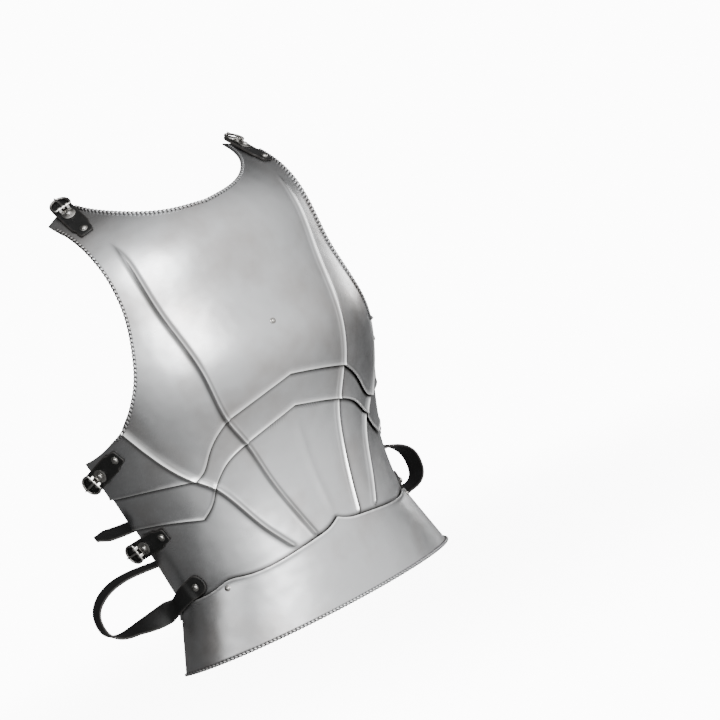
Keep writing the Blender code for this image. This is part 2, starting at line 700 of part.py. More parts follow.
def ribbon(name, rows, group, material):
    """A leather strip as one solid: rows of (underside, top) pairs across it, all along it."""
    bm = bmesh.new()
    verts = [[[bm.verts.new(spot) for spot in pair] for pair in row] for row in rows]
    for a, b in zip(verts, verts[1:]):
        for k in range(len(a) - 1):
            bm.faces.new((a[k][1], a[k + 1][1], b[k + 1][1], b[k][1]))
            bm.faces.new((a[k][0], b[k][0], b[k + 1][0], a[k + 1][0]))
        bm.faces.new((a[0][0], a[0][1], b[0][1], b[0][0]))
        bm.faces.new((a[-1][0], b[-1][0], b[-1][1], a[-1][1]))
    for row in (verts[0], verts[-1]):
        bm.faces.new([pair[0] for pair in row] + [pair[1] for pair in reversed(row)])
    bmesh.ops.recalc_face_normals(bm, faces=bm.faces)
    return add_mesh(name, bm, group, material)


TAB_LENGTH = RIVET_SPACING + CHAPE_TO_BAR + RING_TO_BAR


def tab_half_width(run):
    """Half width of a tab along its length: a lobe round the rivet, then a step out."""
    lobe = TAB_WIDTH / 2 - TAB_LOBE_STEP
    if run < 0:
        return lobe * math.sqrt(1 - (run / TAB_END) ** 2)
    if run > TAB_LENGTH:
        return TAB_WIDTH / 2 * math.sqrt(1 - (2 * (run - TAB_LENGTH) / TAB_WIDTH) ** 2)
    return lobe + TAB_LOBE_STEP * min(max(run / TAB_STEP - TAB_FLARE[0], 0.0), 1.0)


def tab_frame(place, direction, run, lift):
    """Frame on a tab: it lies on the body at its rivet and goes on straight past TAB_LEAVES."""
    near = min(abs(run), TAB_LEAVES)
    spot, ahead = walk(place, direction if run > 0 else -direction, near)
    if run <= 0:
        ahead = -ahead
    return seat(spot, ahead, lift) @ Matrix.Translation((0.0, max(run - TAB_LEAVES, 0.0), 0.0)), spot


def build_tab(name, place, direction, lift, flip, group, leather):
    """A leather tab, round at both ends, that takes the body's curve at its rivet."""
    runs = [-TAB_END * share for share in LOBE_STATIONS]
    runs += [0.0, *(TAB_STEP * share for share in TAB_FLARE), TAB_LEAVES + TAB_STEP, TAB_LENGTH]
    runs += [TAB_LENGTH + TAB_WIDTH / 2 * share for share in TIP_STATIONS]
    rows = []
    for run in runs:
        frame, spot = tab_frame(place, direction, run, lift)
        across = frame.col[0].to_3d()
        half = tab_half_width(run)
        row = []
        for side in (-1.0, 0.0, 1.0):
            centre, normal = frame.translation + across * side * half, frame.col[2].to_3d()
            if side and run <= TAB_LEAVES:
                edge, _ = walk(spot, across * side, half)
                normal = form_normal(*edge)
                centre = bare_form(*edge) + normal * lift
            row.append([flip @ centre, flip @ (centre + normal * LEATHER)])
        rows.append(row)
    return ribbon(name, rows, group, leather)


def flat_piece(name, outlines, half_width, group, material):
    """A piece sawn from flat stock: closed outlines in its Y-Z plane, given a width along X."""
    curve = bpy.data.curves.new(name, "CURVE")
    curve.dimensions = "2D"
    curve.fill_mode = "BOTH"
    curve.extrude = half_width
    for points in outlines:
        line = curve.splines.new("POLY")
        line.points.add(len(points) - 1)
        line.use_cyclic_u = True
        for point, (y, z) in zip(line.points, points):
            point.co = (y, z, 0.0, 1.0)
    thing = bpy.data.objects.new(name, curve)
    group.objects.link(thing)
    bpy.context.view_layer.update()
    mesh = bpy.data.meshes.new_from_object(thing.evaluated_get(bpy.context.evaluated_depsgraph_get()))
    bpy.data.objects.remove(thing)
    bm = bmesh.new()
    bm.from_mesh(mesh)
    bmesh.ops.remove_doubles(bm, verts=bm.verts, dist=MIRROR_JOIN / 10)
    bmesh.ops.transform(bm, matrix=Matrix(((0, 0, 1, 0), (1, 0, 0, 0), (0, 1, 0, 0), (0, 0, 0, 1))),
                        verts=bm.verts)
    bmesh.ops.recalc_face_normals(bm, faces=bm.faces)
    bpy.data.meshes.remove(mesh)
    return add_mesh(name, bm, group, material)


def arc(radius, start, end, count, centre=(0.0, 0.0)):
    """Points of an arc in the Y-Z plane, angles in degrees from +Y."""
    turns = [math.radians(start + (end - start) * k / count) for k in range(count + 1)]
    return [(centre[0] + radius * math.cos(a), centre[1] + radius * math.sin(a)) for a in turns]


BORE_RADIUS = BAR_RADIUS + BAR_CLEARANCE
KNUCKLE_RADIUS = BORE_RADIUS + KNUCKLE_WALL
BAR_LIFT = KNUCKLE_RADIUS + SEAT_GAP
BORE = arc(BORE_RADIUS, 0, -300, 5)


def build_chape(name, matrix, group, cutters, steel):
    """Round buckle plate whose two knuckles curl round the bar."""
    top = CHAPE_STEEL - KNUCKLE_RADIUS
    bottom = KNUCKLE_SET_IN - KNUCKLE_RADIUS
    strip_top = top - KNUCKLE_SET_IN
    start = -90 - math.degrees(math.acos(-bottom / KNUCKLE_RADIUS))
    meet = 180 - math.degrees(math.asin(strip_top / KNUCKLE_RADIUS))
    outline = arc(KNUCKLE_RADIUS, start, meet, 7) + [(-CHAPE_TO_BAR, strip_top), (-CHAPE_TO_BAR, bottom)]
    bm = bmesh.new()
    bmesh.ops.create_cone(bm, cap_ends=True, cap_tris=True, segments=12, radius1=CHAPE_RADIUS,
                          radius2=CHAPE_RADIUS, depth=CHAPE_STEEL,
                          matrix=Matrix.Translation((0.0, -CHAPE_TO_BAR, top - CHAPE_STEEL / 2)))
    chape = add_mesh(name, bm, group, steel)
    chape.matrix_world = matrix
    for number, side in enumerate((-1.0, 1.0)):
        knuckle = flat_piece(f"{name}_knuckle_{number}", [outline, BORE], KNUCKLE_WIDTH / 2, cutters, steel)
        knuckle.data.transform(Matrix.Translation((side * KNUCKLE_PLACE, 0.0, 0.0)))
        knuckle.matrix_world = matrix
        knuckle.hide_render = True
        knuckle.display_type = "WIRE"
        join = chape.modifiers.new("knuckle", "BOOLEAN")
        join.object = knuckle
        join.operation = "UNION"
        join.solver = "EXACT"
    return chape


def build_ring(name, matrix, group, steel):
    """Round wire frame closed by the straight bar that it swings on."""
    reach = math.degrees(math.asin(RING_TO_BAR / RING_RADIUS))
    points = [(x, RING_TO_BAR + y) for y, x in arc(RING_RADIUS, -90 - reach, 90 + reach, 12)]
    curve = bpy.data.curves.new(name, "CURVE")
    curve.dimensions = "3D"
    curve.bevel_depth = BAR_RADIUS
    curve.bevel_resolution = 1
    line = curve.splines.new("POLY")
    line.points.add(len(points) - 1)
    line.use_cyclic_u = True
    for point, (x, y) in zip(line.points, points):
        point.co = (x, y, 0.0, 1.0)
    curve.materials.append(steel)
    ring = bpy.data.objects.new(name, curve)
    group.objects.link(ring)
    ring.matrix_world = matrix
    return ring


def build_tongue(name, matrix, group, steel):
    """Flat tongue whose eye turns on the bar and whose tip lies on the ring."""
    under = BAR_RADIUS + SEAT_GAP
    top = under + TONGUE_STEEL
    meet = math.degrees(math.asin(under / KNUCKLE_RADIUS))
    tip = RING_TO_BAR + RING_RADIUS + BAR_RADIUS
    outline = [(tip, under), (tip + TONGUE_STEEL, (under + top) / 2), (tip, top)]
    outline += arc(KNUCKLE_RADIUS, 90, 360 + meet, 7)
    tongue = flat_piece(name, [outline, BORE], TONGUE_WIDTH / 2, group, steel)
    tongue.matrix_world = matrix
    return tongue


def build_buckle(spec, side, flip, group, cutters, steel, leather, holes):
    """Tab, rivets, buckle plate, ring and tongue, from the tab's rivet outwards."""
    kind, place, target, plate, layer = spec
    name = f"{kind}_{side}"
    lift = lap(layer) + STEEL + TAB_AIR
    top = lift + LEATHER
    direction = (bare_form(*target) - bare_form(*place)).normalized()
    near = flip @ tab_frame(place, direction, 0.0, top + SEAT_GAP)[0] @ flip
    bar = flip @ tab_frame(place, direction, RIVET_SPACING + CHAPE_TO_BAR, top + BAR_LIFT)[0] @ flip
    far = bar @ Matrix.Translation((0.0, -CHAPE_TO_BAR, CHAPE_STEEL - KNUCKLE_RADIUS + SEAT_GAP))
    drop = math.asin((KNUCKLE_RADIUS - BAR_RADIUS) / (RING_TO_BAR + RING_RADIUS))
    leaning = bar @ Matrix.Rotation(-drop, 4, "X")
    tab = build_tab(f"{name}_tab", place, direction, lift, flip, group, leather)
    add_rivet(f"{name}_tab_rivet", near, SEAT_GAP + LEATHER + TAB_AIR + STEEL + REAR_AIR, DOME_RADIUS,
              group, steel)
    add_rivet(f"{name}_buckle_rivet", far, 3 * SEAT_GAP + CHAPE_STEEL + LEATHER, DOME_RADIUS, group, steel)
    chape = build_chape(f"{name}_buckle_plate", bar, group, cutters, steel)
    build_ring(f"{name}_buckle_ring", leaning, group, steel)
    build_tongue(f"{name}_buckle_tongue", leaning, group, steel)
    drill(tab, [near, far], cutters)
    drill(chape, [Matrix.Translation((0.0, -CHAPE_TO_BAR, 0.0))], cutters, bar)
    holes.setdefault(plate, []).append(near)


def strap_rows():
    """Centre, width direction and half width all along a left waist strap."""
    direction = (bare_form(*STRAP_HEADING) - bare_form(*STRAP_RIVET)).normalized()
    rows = []
    for run in (*(-TAB_END * share for share in LOBE_STATIONS), 0.0, *STRAP_RISE,
                *(STRAP_ON_BODY * k / 4 for k in (2, 3, 4))):
        spot, ahead = walk(STRAP_RIVET, direction if run > 0 else -direction, abs(run))
        if run <= 0:
            ahead = -ahead
        over = min(max((run - STRAP_RISE[0]) / (STRAP_RISE[1] - STRAP_RISE[0]), 0.0), 1.0)
        lift = STEEL + TAB_AIR + STRAP_BOW + lap(1) * over
        half = STRAP_WIDTH / 2 * (math.sqrt(1 - (run / TAB_END) ** 2) if run < 0 else 1.0)
        edges = []
        for side in (-1.0, 1.0):
            edge, _ = walk(spot, seat(spot, ahead, 0.0).col[0].to_3d() * side, half)
            edges.append((bare_form(*edge) + form_normal(*edge) * lift, form_normal(*edge)))
        rows.append([[at, at + normal * LEATHER] for at, normal in edges])
    start = (rows[-1][0][0] + rows[-1][1][1]) / 2
    table = [(0.0, 0.0, 0.0, 0.0)] + STRAP_LOOP
    spots = np.array([[start.x + out * STRAP_REACH, start.y + back * STRAP_REACH, start.z + up * STRAP_REACH]
                      for out, back, up, _ in table])
    runs = np.concatenate([[0.0], np.cumsum(np.linalg.norm(np.diff(spots, axis=0), axis=1))])
    path = spline(runs, spots)
    for k, (run, (_, _, _, twist)) in enumerate(zip(runs[1:], table[1:])):
        ahead = Vector(path(run + WALK_STEP / 4) - path(run - WALK_STEP / 4)).normalized()
        turn = math.radians(twist)
        wide = Vector((-math.sin(turn) * STRAP_LEAN, math.sin(turn), math.cos(turn)))
        wide = (wide - ahead * wide.dot(ahead)).normalized()
        through = ahead.cross(wide).normalized() * LEATHER / 2
        half = STRAP_WIDTH / 2 * (1.0 if k < len(runs) - 2 else STRAP_TIP)
        centre = Vector(path(run))
        rows.append([[centre - wide * side * half - through, centre - wide * side * half + through]
                     for side in (-1.0, 1.0)])
    return rows


def main():
    clear_scene()
    group = new_collection("steel_breastplate")
    cutters = new_collection("cutters")
    steel = new_material("polished_steel", (0.56, 0.56, 0.57), 1.0, 0.28)
    fittings = new_material("bright_steel_fittings", (0.62, 0.62, 0.63), 1.0, 0.22)
    leather = new_material("black_leather", (0.012, 0.012, 0.013), 0.0, 0.55)
    plates = {plate.name: plate for plate in (
        build_chest_plate(group, steel), build_lame(group, steel),
        build_waist_plate(group, steel), build_skirt(group, steel))}
    holes = {}
    centre = seat(CENTRE_RIVET, Vector((0.0, 0.0, 1.0)), lap(2) + STEEL + SEAT_GAP)
    add_rivet("centre_rivet", centre, SEAT_GAP + STEEL + lap(2) + CENTRE_AIR, SMALL_DOME_RADIUS, group, fittings)
    for name in ("chest_plate", "belly_lame", "waist_plate"):
        holes.setdefault(name, []).append(centre)
    for side, sign in SIDES:
        flip = Matrix.Diagonal((sign, 1.0, 1.0, 1.0))
        for spec in BUCKLES:
            build_buckle(spec, side, flip, group, cutters, fittings, leather, holes)
        skirt_rivet = flip @ seat(SKIRT_RIVET, Vector((0.0, 0.0, 1.0)), lap(1) + STEEL + SEAT_GAP) @ flip
        add_rivet(f"skirt_rivet_{side}", skirt_rivet, SEAT_GAP + STEEL + lap(1) + REAR_AIR, SMALL_DOME_RADIUS,
                  group, fittings)
        for name in ("skirt_plate", "waist_plate"):
            holes.setdefault(name, []).append(skirt_rivet)
        rows = strap_rows()
        middle = (rows[2][0][1] + rows[2][1][1]) / 2
        grip = (middle - bare_form(*STRAP_RIVET)).dot(form_normal(*STRAP_RIVET)) + 3 * STRAP_BOW
        strap_rivet = flip @ seat(STRAP_RIVET, Vector((0.0, 1.0, 0.0)), grip) @ flip
        add_rivet(f"waist_strap_rivet_{side}", strap_rivet, grip + REAR_AIR, DOME_RADIUS, group, fittings)
        rows = [[[flip @ spot for spot in pair] for pair in row] for row in rows]
        strap = ribbon(f"waist_strap_{side}", rows, group, leather)
        drill(strap, [strap_rivet], cutters)
        holes["waist_plate"].append(strap_rivet)
    for name, matrices in holes.items():
        drill(plates[name], matrices, cutters)


main()
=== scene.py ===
import math

import bmesh
import bpy
import numpy as np
from mathutils import Matrix, Vector


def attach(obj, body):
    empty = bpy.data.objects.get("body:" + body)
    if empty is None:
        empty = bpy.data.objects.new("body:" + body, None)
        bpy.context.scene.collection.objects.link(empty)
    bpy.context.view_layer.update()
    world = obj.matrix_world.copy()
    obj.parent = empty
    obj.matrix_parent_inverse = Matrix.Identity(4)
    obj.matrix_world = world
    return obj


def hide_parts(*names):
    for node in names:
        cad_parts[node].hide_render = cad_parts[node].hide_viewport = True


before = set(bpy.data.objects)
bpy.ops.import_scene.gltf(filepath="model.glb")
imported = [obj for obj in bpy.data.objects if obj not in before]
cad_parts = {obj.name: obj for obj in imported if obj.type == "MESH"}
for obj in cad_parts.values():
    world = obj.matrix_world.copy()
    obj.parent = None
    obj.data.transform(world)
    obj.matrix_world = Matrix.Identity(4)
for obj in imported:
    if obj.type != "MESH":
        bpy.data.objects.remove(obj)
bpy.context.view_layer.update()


# Waist plate: the lowest of three lapping plates, raised from 1.5 mm mild steel sheet over a stake. The
# long and side creases are chased up from behind; its top runs up hidden to the rivet on the chest.
height, half_width, depth = 0.500, 0.190, 0.135
hem_half_width, hem_depth, hem_set_back = 0.175, 0.116, 0.0145
sheet = 0.0015
lap_air = 0.0010
lap_run = 0.016
crease_height, crease_reach, crease_power = 0.0026, 0.0066, 2.2
crease_foot, crease_foot_run = 0.156, 0.010
long_crease_top, long_crease_top_run = 0.88, 0.06
side_turn = 95.0
waist_share, waist_blend = 0.15, 0.024
roll_radius = 0.0021


def lengths_along(spots):
    """Metres from the first of some spots to each of them."""
    return np.concatenate([[0.0], np.cumsum(np.linalg.norm(np.diff(spots, axis=0), axis=1))])


def natural(knots, values):
    """A smooth curve through values at knots, straight on beyond both ends."""
    knots, values = np.array(knots, float), np.array(values, float)
    gaps = np.diff(knots)
    slopes = np.diff(values, axis=0) / gaps[:, None]
    system, bends = np.eye(len(knots)), np.zeros_like(values)
    for i in range(1, len(knots) - 1):
        system[i, i - 1:i + 2] = gaps[i - 1] / 6, (gaps[i - 1] + gaps[i]) / 3, gaps[i] / 6
        bends[i] = slopes[i] - slopes[i - 1]
    bends = np.linalg.solve(system, bends)

    def read(x):
        x = np.asarray(x, float)
        inside = np.clip(x, knots[0], knots[-1])
        i = np.clip(np.searchsorted(knots, inside, side="right") - 1, 0, len(knots) - 2)
        gap = gaps[i][..., None]
        a = (knots[i + 1] - inside)[..., None] / gap
        b = 1 - a
        value = a * values[i] + b * values[i + 1]
        value = value + ((a ** 3 - a) * bends[i] + (b ** 3 - b) * bends[i + 1]) * gap ** 2 / 6
        slope = slopes[i] + ((1 - 3 * a ** 2) * bends[i] + (3 * b ** 2 - 1) * bends[i + 1]) * gap / 6
        return value + slope * (x - inside)[..., None]

    return read


flat_scale = np.array((half_width * math.pi / 180, height))


def line_through(points):
    """A smooth line through (turn, share of the height) points, read from 0 to 1."""
    points = np.array(points, float)
    spots = points * flat_scale
    runs = lengths_along(spots)
    return natural(runs / runs[-1], points)


def straight(a, b):
    a, b = np.array(a, float), np.array(b, float)
    return lambda t: a + (b - a) * np.asarray(t, float)[..., None]


def lap(layer):
    """How far a plate's inner face stands off the body: 0 waist plate, 1 lame and skirt, 2 chest."""
    return layer * (sheet + lap_air)


def ramp(x, low, high):
    """0 below low, 1 above high, smooth between."""
    t = np.clip((np.asarray(x, float) - low) / (high - low), 0.0, 1.0)
    return t * t * (3 - 2 * t)


front = hem_depth - hem_set_back + lap(1) + roll_radius
body_sections = natural(
    (0.15, 0.28, 0.42, 0.56, 0.70, 0.82, 0.92, 1.00),
    [(0.770, 0.810, -0.065), (0.810, 0.810, -0.085), (0.900, 0.835, 0.000), (0.980, 1.000, 0.040),
     (1.000, 0.955, 0.050), (0.975, 0.900, 0.090), (0.900, 0.700, 0.080), (0.740, 0.400, 0.000)])


def bare_skin(turn, share):
    """Points of the body's form at turns in degrees from the front and at shares of the height."""
    turn, share = np.broadcast_arrays(np.asarray(turn, float), np.asarray(share, float))
    scale = (half_width, depth, depth)
    above = body_sections(share) * scale
    hem = np.array((hem_half_width, hem_depth, -hem_set_back))
    below = hem + (body_sections(waist_share) * scale - hem) * (share / waist_share)[..., None]
    mix = ramp(share, waist_share - waist_blend, waist_share + waist_blend)[..., None]
    half, deep, step = np.moveaxis(below + (above - below) * mix, -1, 0)
    angle = np.radians(turn)
    return np.stack([half * np.sin(angle), front - step - deep * np.cos(angle), share * height], -1)


def skin_normal(turn, share):
    across = bare_skin(turn + 0.2, share) - bare_skin(turn - 0.2, share)
    upward = bare_skin(turn, share + 0.002) - bare_skin(turn, share - 0.002)
    normal = np.cross(across, upward)
    return normal / np.linalg.norm(normal, axis=-1, keepdims=True)


long_crease = [
    (8.6, 0.100), (11.5, 0.160), (15.0, 0.230), (18.5, 0.310), (22.0, 0.400), (26.3, 0.463),
    (28.7, 0.560), (31.3, 0.680), (34.7, 0.800), (37.0, 0.870), (43.0, 0.935), (51.0, 0.985)]
side_crease = [(17.0, 0.100), (21.8, 0.153), (29.5, 0.222), (36.5, 0.308), (40.2, 0.342),
               (46.0, 0.374), (55.5, 0.440), (64.5, 0.530)]
crease_spots = [bare_skin(*line_through(crease)(np.linspace(0, 1, 121)).T)
                for crease in (long_crease, side_crease)]


def crease_lift(turn, share):
    """How far the creases raise the steel: a sharp crest with hollow flanks."""
    here = bare_skin(np.abs(turn), share)
    lift = np.zeros(len(here))
    for number, spots in enumerate(crease_spots):
        reach = np.full(len(here), 1.0)
        for start, run in zip(spots[:-1], np.diff(spots, axis=0)):
            part = np.clip((here - start) @ run / (run @ run), 0.0, 1.0)
            reach = np.minimum(reach, np.linalg.norm(start + run * part[:, None] - here, axis=1))
        rise = crease_height * np.maximum(0.0, 1 - reach / crease_reach) ** crease_power
        if number == 0:
            rise = rise * np.clip((long_crease_top - share) / long_crease_top_run, 0.0, 1.0)
        lift = np.maximum(lift, rise * np.clip((share - crease_foot) / crease_foot_run, 0.0, 1.0))
    return lift


def skin(turn, share, lift=0.0):
    """Points of the creased form, lifted off the body."""
    rise = np.asarray(lift + crease_lift(turn, share))
    return bare_skin(turn, share) + skin_normal(turn, share) * rise[:, None]


both_crowd, one_crowd = 0.72, 1.5


def graded(count, start, end):
    """Steps from 0 to 1 that are closer at a crease at the start, at the end or at both."""
    t = np.linspace(0.0, 1.0, count + 1)
    if start and end:
        return t - both_crowd * np.sin(2 * math.pi * t) / (2 * math.pi)
    if end:
        return 1 - (1 - t) ** one_crowd
    return t ** one_crowd if start else t


def lay_patch(bm, bottom, top, left, right, wide, tall, start=False, end=False):
    """Adds a grid between four edge lines, in degrees of turn and hundredths of the height."""
    grid = bmesh.ops.create_grid(bm, x_segments=wide, y_segments=tall, size=0.5)["verts"]
    flat = np.array([vert.co[:2] for vert in grid]) + 0.5
    u = graded(wide, start, end)[np.rint(flat[:, 0] * wide).astype(int)]
    v = flat[:, 1]
    u1, v1 = u[:, None], v[:, None]
    place = ((1 - v1) * bottom(u) + v1 * top(u) + (1 - u1) * left(v) + u1 * right(v)
             - (1 - u1) * (1 - v1) * bottom(0.0) - u1 * (1 - v1) * bottom(1.0)
             - (1 - u1) * v1 * top(0.0) - u1 * v1 * top(1.0))
    for vert, (turn, share) in zip(grid, place):
        vert.co = (turn, share * 100, 0.0)


def stretch(crease, low, high):
    """The part of a crease between two heights, as a line that stays on its crest."""
    fine = line_through(crease)(np.linspace(0, 1, 1201))
    cuts = [low, *fine[(fine[:, 1] > low + 1e-4) & (fine[:, 1] < high - 1e-4), 1], high]
    part = np.stack([np.interp(cuts, fine[:, 1], fine[:, 0]), cuts], -1)
    runs = lengths_along(part * flat_scale)

    def read(t):
        at = np.asarray(t, float) * runs[-1]
        return np.stack([np.interp(at, runs, part[:, k]) for k in (0, 1)], -1)

    return read


def raised(line, rise):
    """The line's points, moved up by metres of height."""
    return [(turn, share + rise / height) for turn, share in line]


def tongue_rise(line, width=17.0, top=0.625):
    """Lifts the middle of a hidden upper edge to the rivet on the chest."""
    def read(t):
        place = np.array(line(t), float)
        mix = ramp(1 - place[..., 0] / width, 0.0, 1.0)
        place[..., 1] += (top - place[..., 1]) * mix
        return place

    return read


cut_edge_angle = 1.1


def thicken(bm, thickness, rim=0.0003):
    """Gives the outer skin its thickness inwards and rounds the cut edges."""
    bm.normal_update()
    bmesh.ops.solidify(bm, geom=bm.faces[:], thickness=thickness)
    bmesh.ops.recalc_face_normals(bm, faces=bm.faces)
    edges = [edge for edge in bm.edges
             if len(edge.link_faces) == 2 and edge.calc_face_angle() > cut_edge_angle]
    bmesh.ops.bevel(bm, geom=edges, offset=rim, offset_type="OFFSET", affect="EDGES", segments=2,
                    profile=0.5, material=-1, clamp_overlap=True)


def distance_to(lines, turn, share):
    """Metres over the skin from places to the nearest of some lines."""
    spots = np.stack([turn, share], -1) * flat_scale
    near = np.full(len(spots), 1.0)
    for line in lines:
        for spot in line(np.linspace(0, 1, 260)) * flat_scale:
            near = np.minimum(near, np.linalg.norm(spots - spot, axis=1))
    return near


lip_height, lip_reach = 0.0010, 0.0042
tuck_limit, tuck_find = 0.6, 0.0004
# Painted shade: a dark colour laid beside the edges of the plates above and down the flanks of the
# creases.
painted_shade_reach, painted_shade_strength = 0.0052, 1.25
crease_painted_shade, crease_painted_shade_place, crease_painted_shade_width = 0.50, 0.0030, 0.0011
# Painted highlight: a near-white colour laid on the crests and along the lips.
painted_highlight_reach, painted_highlight_from = 0.0018, 0.60


def raise_plate(bm, layer, relief=None, rolled=(), lips=(), covers=()):
    """Bends the flat patches to the body, adds the other half and gives the sheet its thickness.

    rolled are edges that are tucked in for a rope, lips are edges that stand out a little, covers are
    the edges of plates over this one. Two marks go to the material: painted shade beside the covers and
    in the hollows along the creases, and a painted highlight on the crests and lips.
    """
    bmesh.ops.remove_doubles(bm, verts=bm.verts, dist=2e-3)
    for line in rolled:
        edge = line(np.linspace(0, 1, 1500)) * flat_scale
        for vert in [vert for vert in bm.verts if vert.is_boundary]:
            spot = np.array(vert.co[:2]) * flat_scale / (1, 100)
            inner = [e.other_vert(vert) for e in vert.link_edges if not e.is_boundary]
            if inner and np.linalg.norm(edge - spot, axis=1).min() < tuck_find:
                toward = np.array(inner[0].co[:2]) * flat_scale / (1, 100) - spot
                vert.co += (inner[0].co - vert.co) * min(tuck_limit, roll_radius / np.linalg.norm(toward))
    flat = np.array([vert.co for vert in bm.verts])
    turn, share = flat[:, 0], flat[:, 1] / 100
    lift = lap(layer) + sheet + (relief(turn, share) if relief else 0.0)
    rim = distance_to(lips, turn, share)
    lift = lift + lip_height * np.clip(1 - rim / lip_reach, 0, 1) ** 2
    # Painted shade: darker near the edges of the plates above, where their shadow falls, and in a narrow
    # band down each crease's flanks.
    painted_shade = np.clip(painted_shade_strength * (1 - distance_to(covers, turn, share) / painted_shade_reach), 0, 1)
    crest = crease_lift(turn, share) / crease_height
    flank = (1 - crest ** (1 / crease_power)) * crease_reach
    hollow = np.exp(-((flank - crease_painted_shade_place) / crease_painted_shade_width) ** 2) * (crest > 0.01)
    painted_shade = np.maximum(painted_shade, crease_painted_shade * hollow)
    # Painted highlight: the crests and lips are lightened towards white.
    wear_and_painted_highlight = np.maximum(np.clip((crest - painted_highlight_from) / (1 - painted_highlight_from), 0, 1),
                      np.clip(1 - rim / painted_highlight_reach, 0, 1))
    painted_shade_attribute = bm.verts.layers.float.new("painted_shade_amount")
    painted_highlight_attribute = bm.verts.layers.float.new("painted_highlight_amount")
    for k, (vert, spot) in enumerate(zip(bm.verts, skin(turn, share, lift))):
        vert.co = spot
        vert[painted_shade_attribute], vert[painted_highlight_attribute] = painted_shade[k], wear_and_painted_highlight[k]
        if abs(vert.co.x) < 1e-4:
            vert.co.x = 0.0
    bmesh.ops.mirror(bm, geom=bm.verts[:] + bm.edges[:] + bm.faces[:], axis="X", merge_dist=1e-5)
    bmesh.ops.recalc_face_normals(bm, faces=bm.faces)
    inside = Vector((0.0, front + 0.03, height / 2))
    if sum(face.normal.dot(face.calc_center_median() - inside) for face in bm.faces) < 0:
        bmesh.ops.reverse_faces(bm, faces=bm.faces)
    thicken(bm, sheet)


def finished(name, bm, material, node=None, smooth_angle=30.0, body="breastplate"):
    """The piece as an object at the origin that stands in for one CAD node."""
    mesh = bpy.data.meshes.new(name)
    bmesh.ops.recalc_face_normals(bm, faces=bm.faces)
    bm.to_mesh(mesh)
    bm.free()
    mesh.materials.append(material)
    mesh.shade_smooth()
    mesh.set_sharp_from_angle(angle=math.radians(smooth_angle))
    piece = bpy.data.objects.new(name, mesh)
    bpy.context.scene.collection.objects.link(piece)
    if node:
        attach(piece, body)
        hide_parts(node)
    return piece


def new_material(name, metallic=0.0):
    """A material with its node tree and its shader."""
    material = bpy.data.materials.new(name)
    material.use_nodes = True
    shader = material.node_tree.nodes["Principled BSDF"]
    shader.inputs["Metallic"].default_value = metallic
    return material, material.node_tree, shader


def linear(hex_colour):
    """Turns an sRGB hex colour to linear."""
    parts = [int(hex_colour[i:i + 2], 16) / 255 for i in (1, 3, 5)]
    return tuple(c / 12.92 if c <= 0.04045 else ((c + 0.055) / 1.055) ** 2.4 for c in parts) + (1.0,)


def add_node(tree, kind, inputs=None, outputs=None, **settings):
    """Adds a shader node of a kind, sets it up and links it: each input is a value or a socket."""
    node = tree.nodes.new("ShaderNode" + kind)
    for key, value in settings.items():
        setattr(node, key, value)
    for key, value in (inputs or {}).items():
        if isinstance(value, bpy.types.NodeSocket):
            tree.links.new(value, node.inputs[key])
        else:
            node.inputs[key].default_value = value
    for key, target in (outputs or {}).items():
        tree.links.new(node.outputs[key], target)
    return node


# Satin-polished mild steel, buffed by hand after planishing: shallow hammer waves about 25 mm wide bend
# the soft highlights, fine buffing lines spread them, and a faint brown bloom lies in patches. Crests
# and rims get a painted highlight, their colour mixed to near white. Painted shade darkens the colour
# beside the plate above, along the creases and in the ropes' grooves.
polished_steel, steel_tree, steel_shader = new_material("satin_polished_mild_steel", 1.0)
steel_place = add_node(steel_tree, "TexCoord").outputs["Object"]
bloom = add_node(steel_tree, "TexNoise", {
    "Vector": steel_place, "Scale": 9.0, "Detail": 4.0, "Roughness": 0.6})
bloom_spread = add_node(steel_tree, "MapRange", {
    "Value": bloom.outputs["Fac"], "From Min": 0.47, "From Max": 0.75, "To Min": 0.0, "To Max": 0.70})
plain_steel = add_node(steel_tree, "Mix", {
    0: bloom_spread.outputs["Result"], 6: linear("#B9BABB"), 7: linear("#8F8680")}, data_type="RGBA")
# Painted highlight: crests and lips mixed towards near-white.
painted_highlight_attribute = add_node(steel_tree, "Attribute", attribute_name="painted_highlight_amount")
steel_with_painted_highlight = add_node(steel_tree, "Mix", {
    0: painted_highlight_attribute.outputs["Fac"], 6: plain_steel.outputs[2], 7: linear("#FFFFFE")}, data_type="RGBA")
# Painted shade: mixed towards near-black beside the plates above, in the crease flanks and in the rope
# grooves.
painted_shade_attribute = add_node(steel_tree, "Attribute", attribute_name="painted_shade_amount")
add_node(steel_tree, "Mix", {
    0: painted_shade_attribute.outputs["Fac"], 6: steel_with_painted_highlight.outputs[2], 7: linear("#1E1B19")},
    {2: steel_shader.inputs["Base Color"]}, data_type="RGBA")
buff_way = add_node(steel_tree, "Mapping", {
    "Vector": steel_place, "Scale": (160.0, 160.0, 2000.0)})
buff_lines = add_node(steel_tree, "TexNoise", {
    "Vector": buff_way.outputs["Vector"], "Scale": 1.0, "Detail": 3.0, "Roughness": 0.6})
smear = add_node(steel_tree, "TexNoise", {
    "Vector": steel_place, "Scale": 26.0, "Detail": 3.0, "Roughness": 0.55})
rough_mix = add_node(steel_tree, "Math", {
    0: smear.outputs["Fac"], 1: buff_lines.outputs["Fac"]}, operation="ADD")
add_node(steel_tree, "MapRange", {
    "Value": rough_mix.outputs["Value"], "From Min": 0.6, "From Max": 1.4,
    "To Min": 0.26, "To Max": 0.40}, {"Result": steel_shader.inputs["Roughness"]})
waves = add_node(steel_tree, "TexNoise", {"Vector": steel_place, "Scale": 40.0, "Detail": 1.0})
wave_bump = add_node(steel_tree, "Bump", {
    "Height": waves.outputs["Fac"], "Strength": 0.45, "Distance": 0.0012})
add_node(steel_tree, "Bump", {
    "Height": buff_lines.outputs["Fac"], "Strength": 0.12, "Distance": 0.0002,
    "Normal": wave_bump.outputs["Normal"]}, {"Normal": steel_shader.inputs["Normal"]})

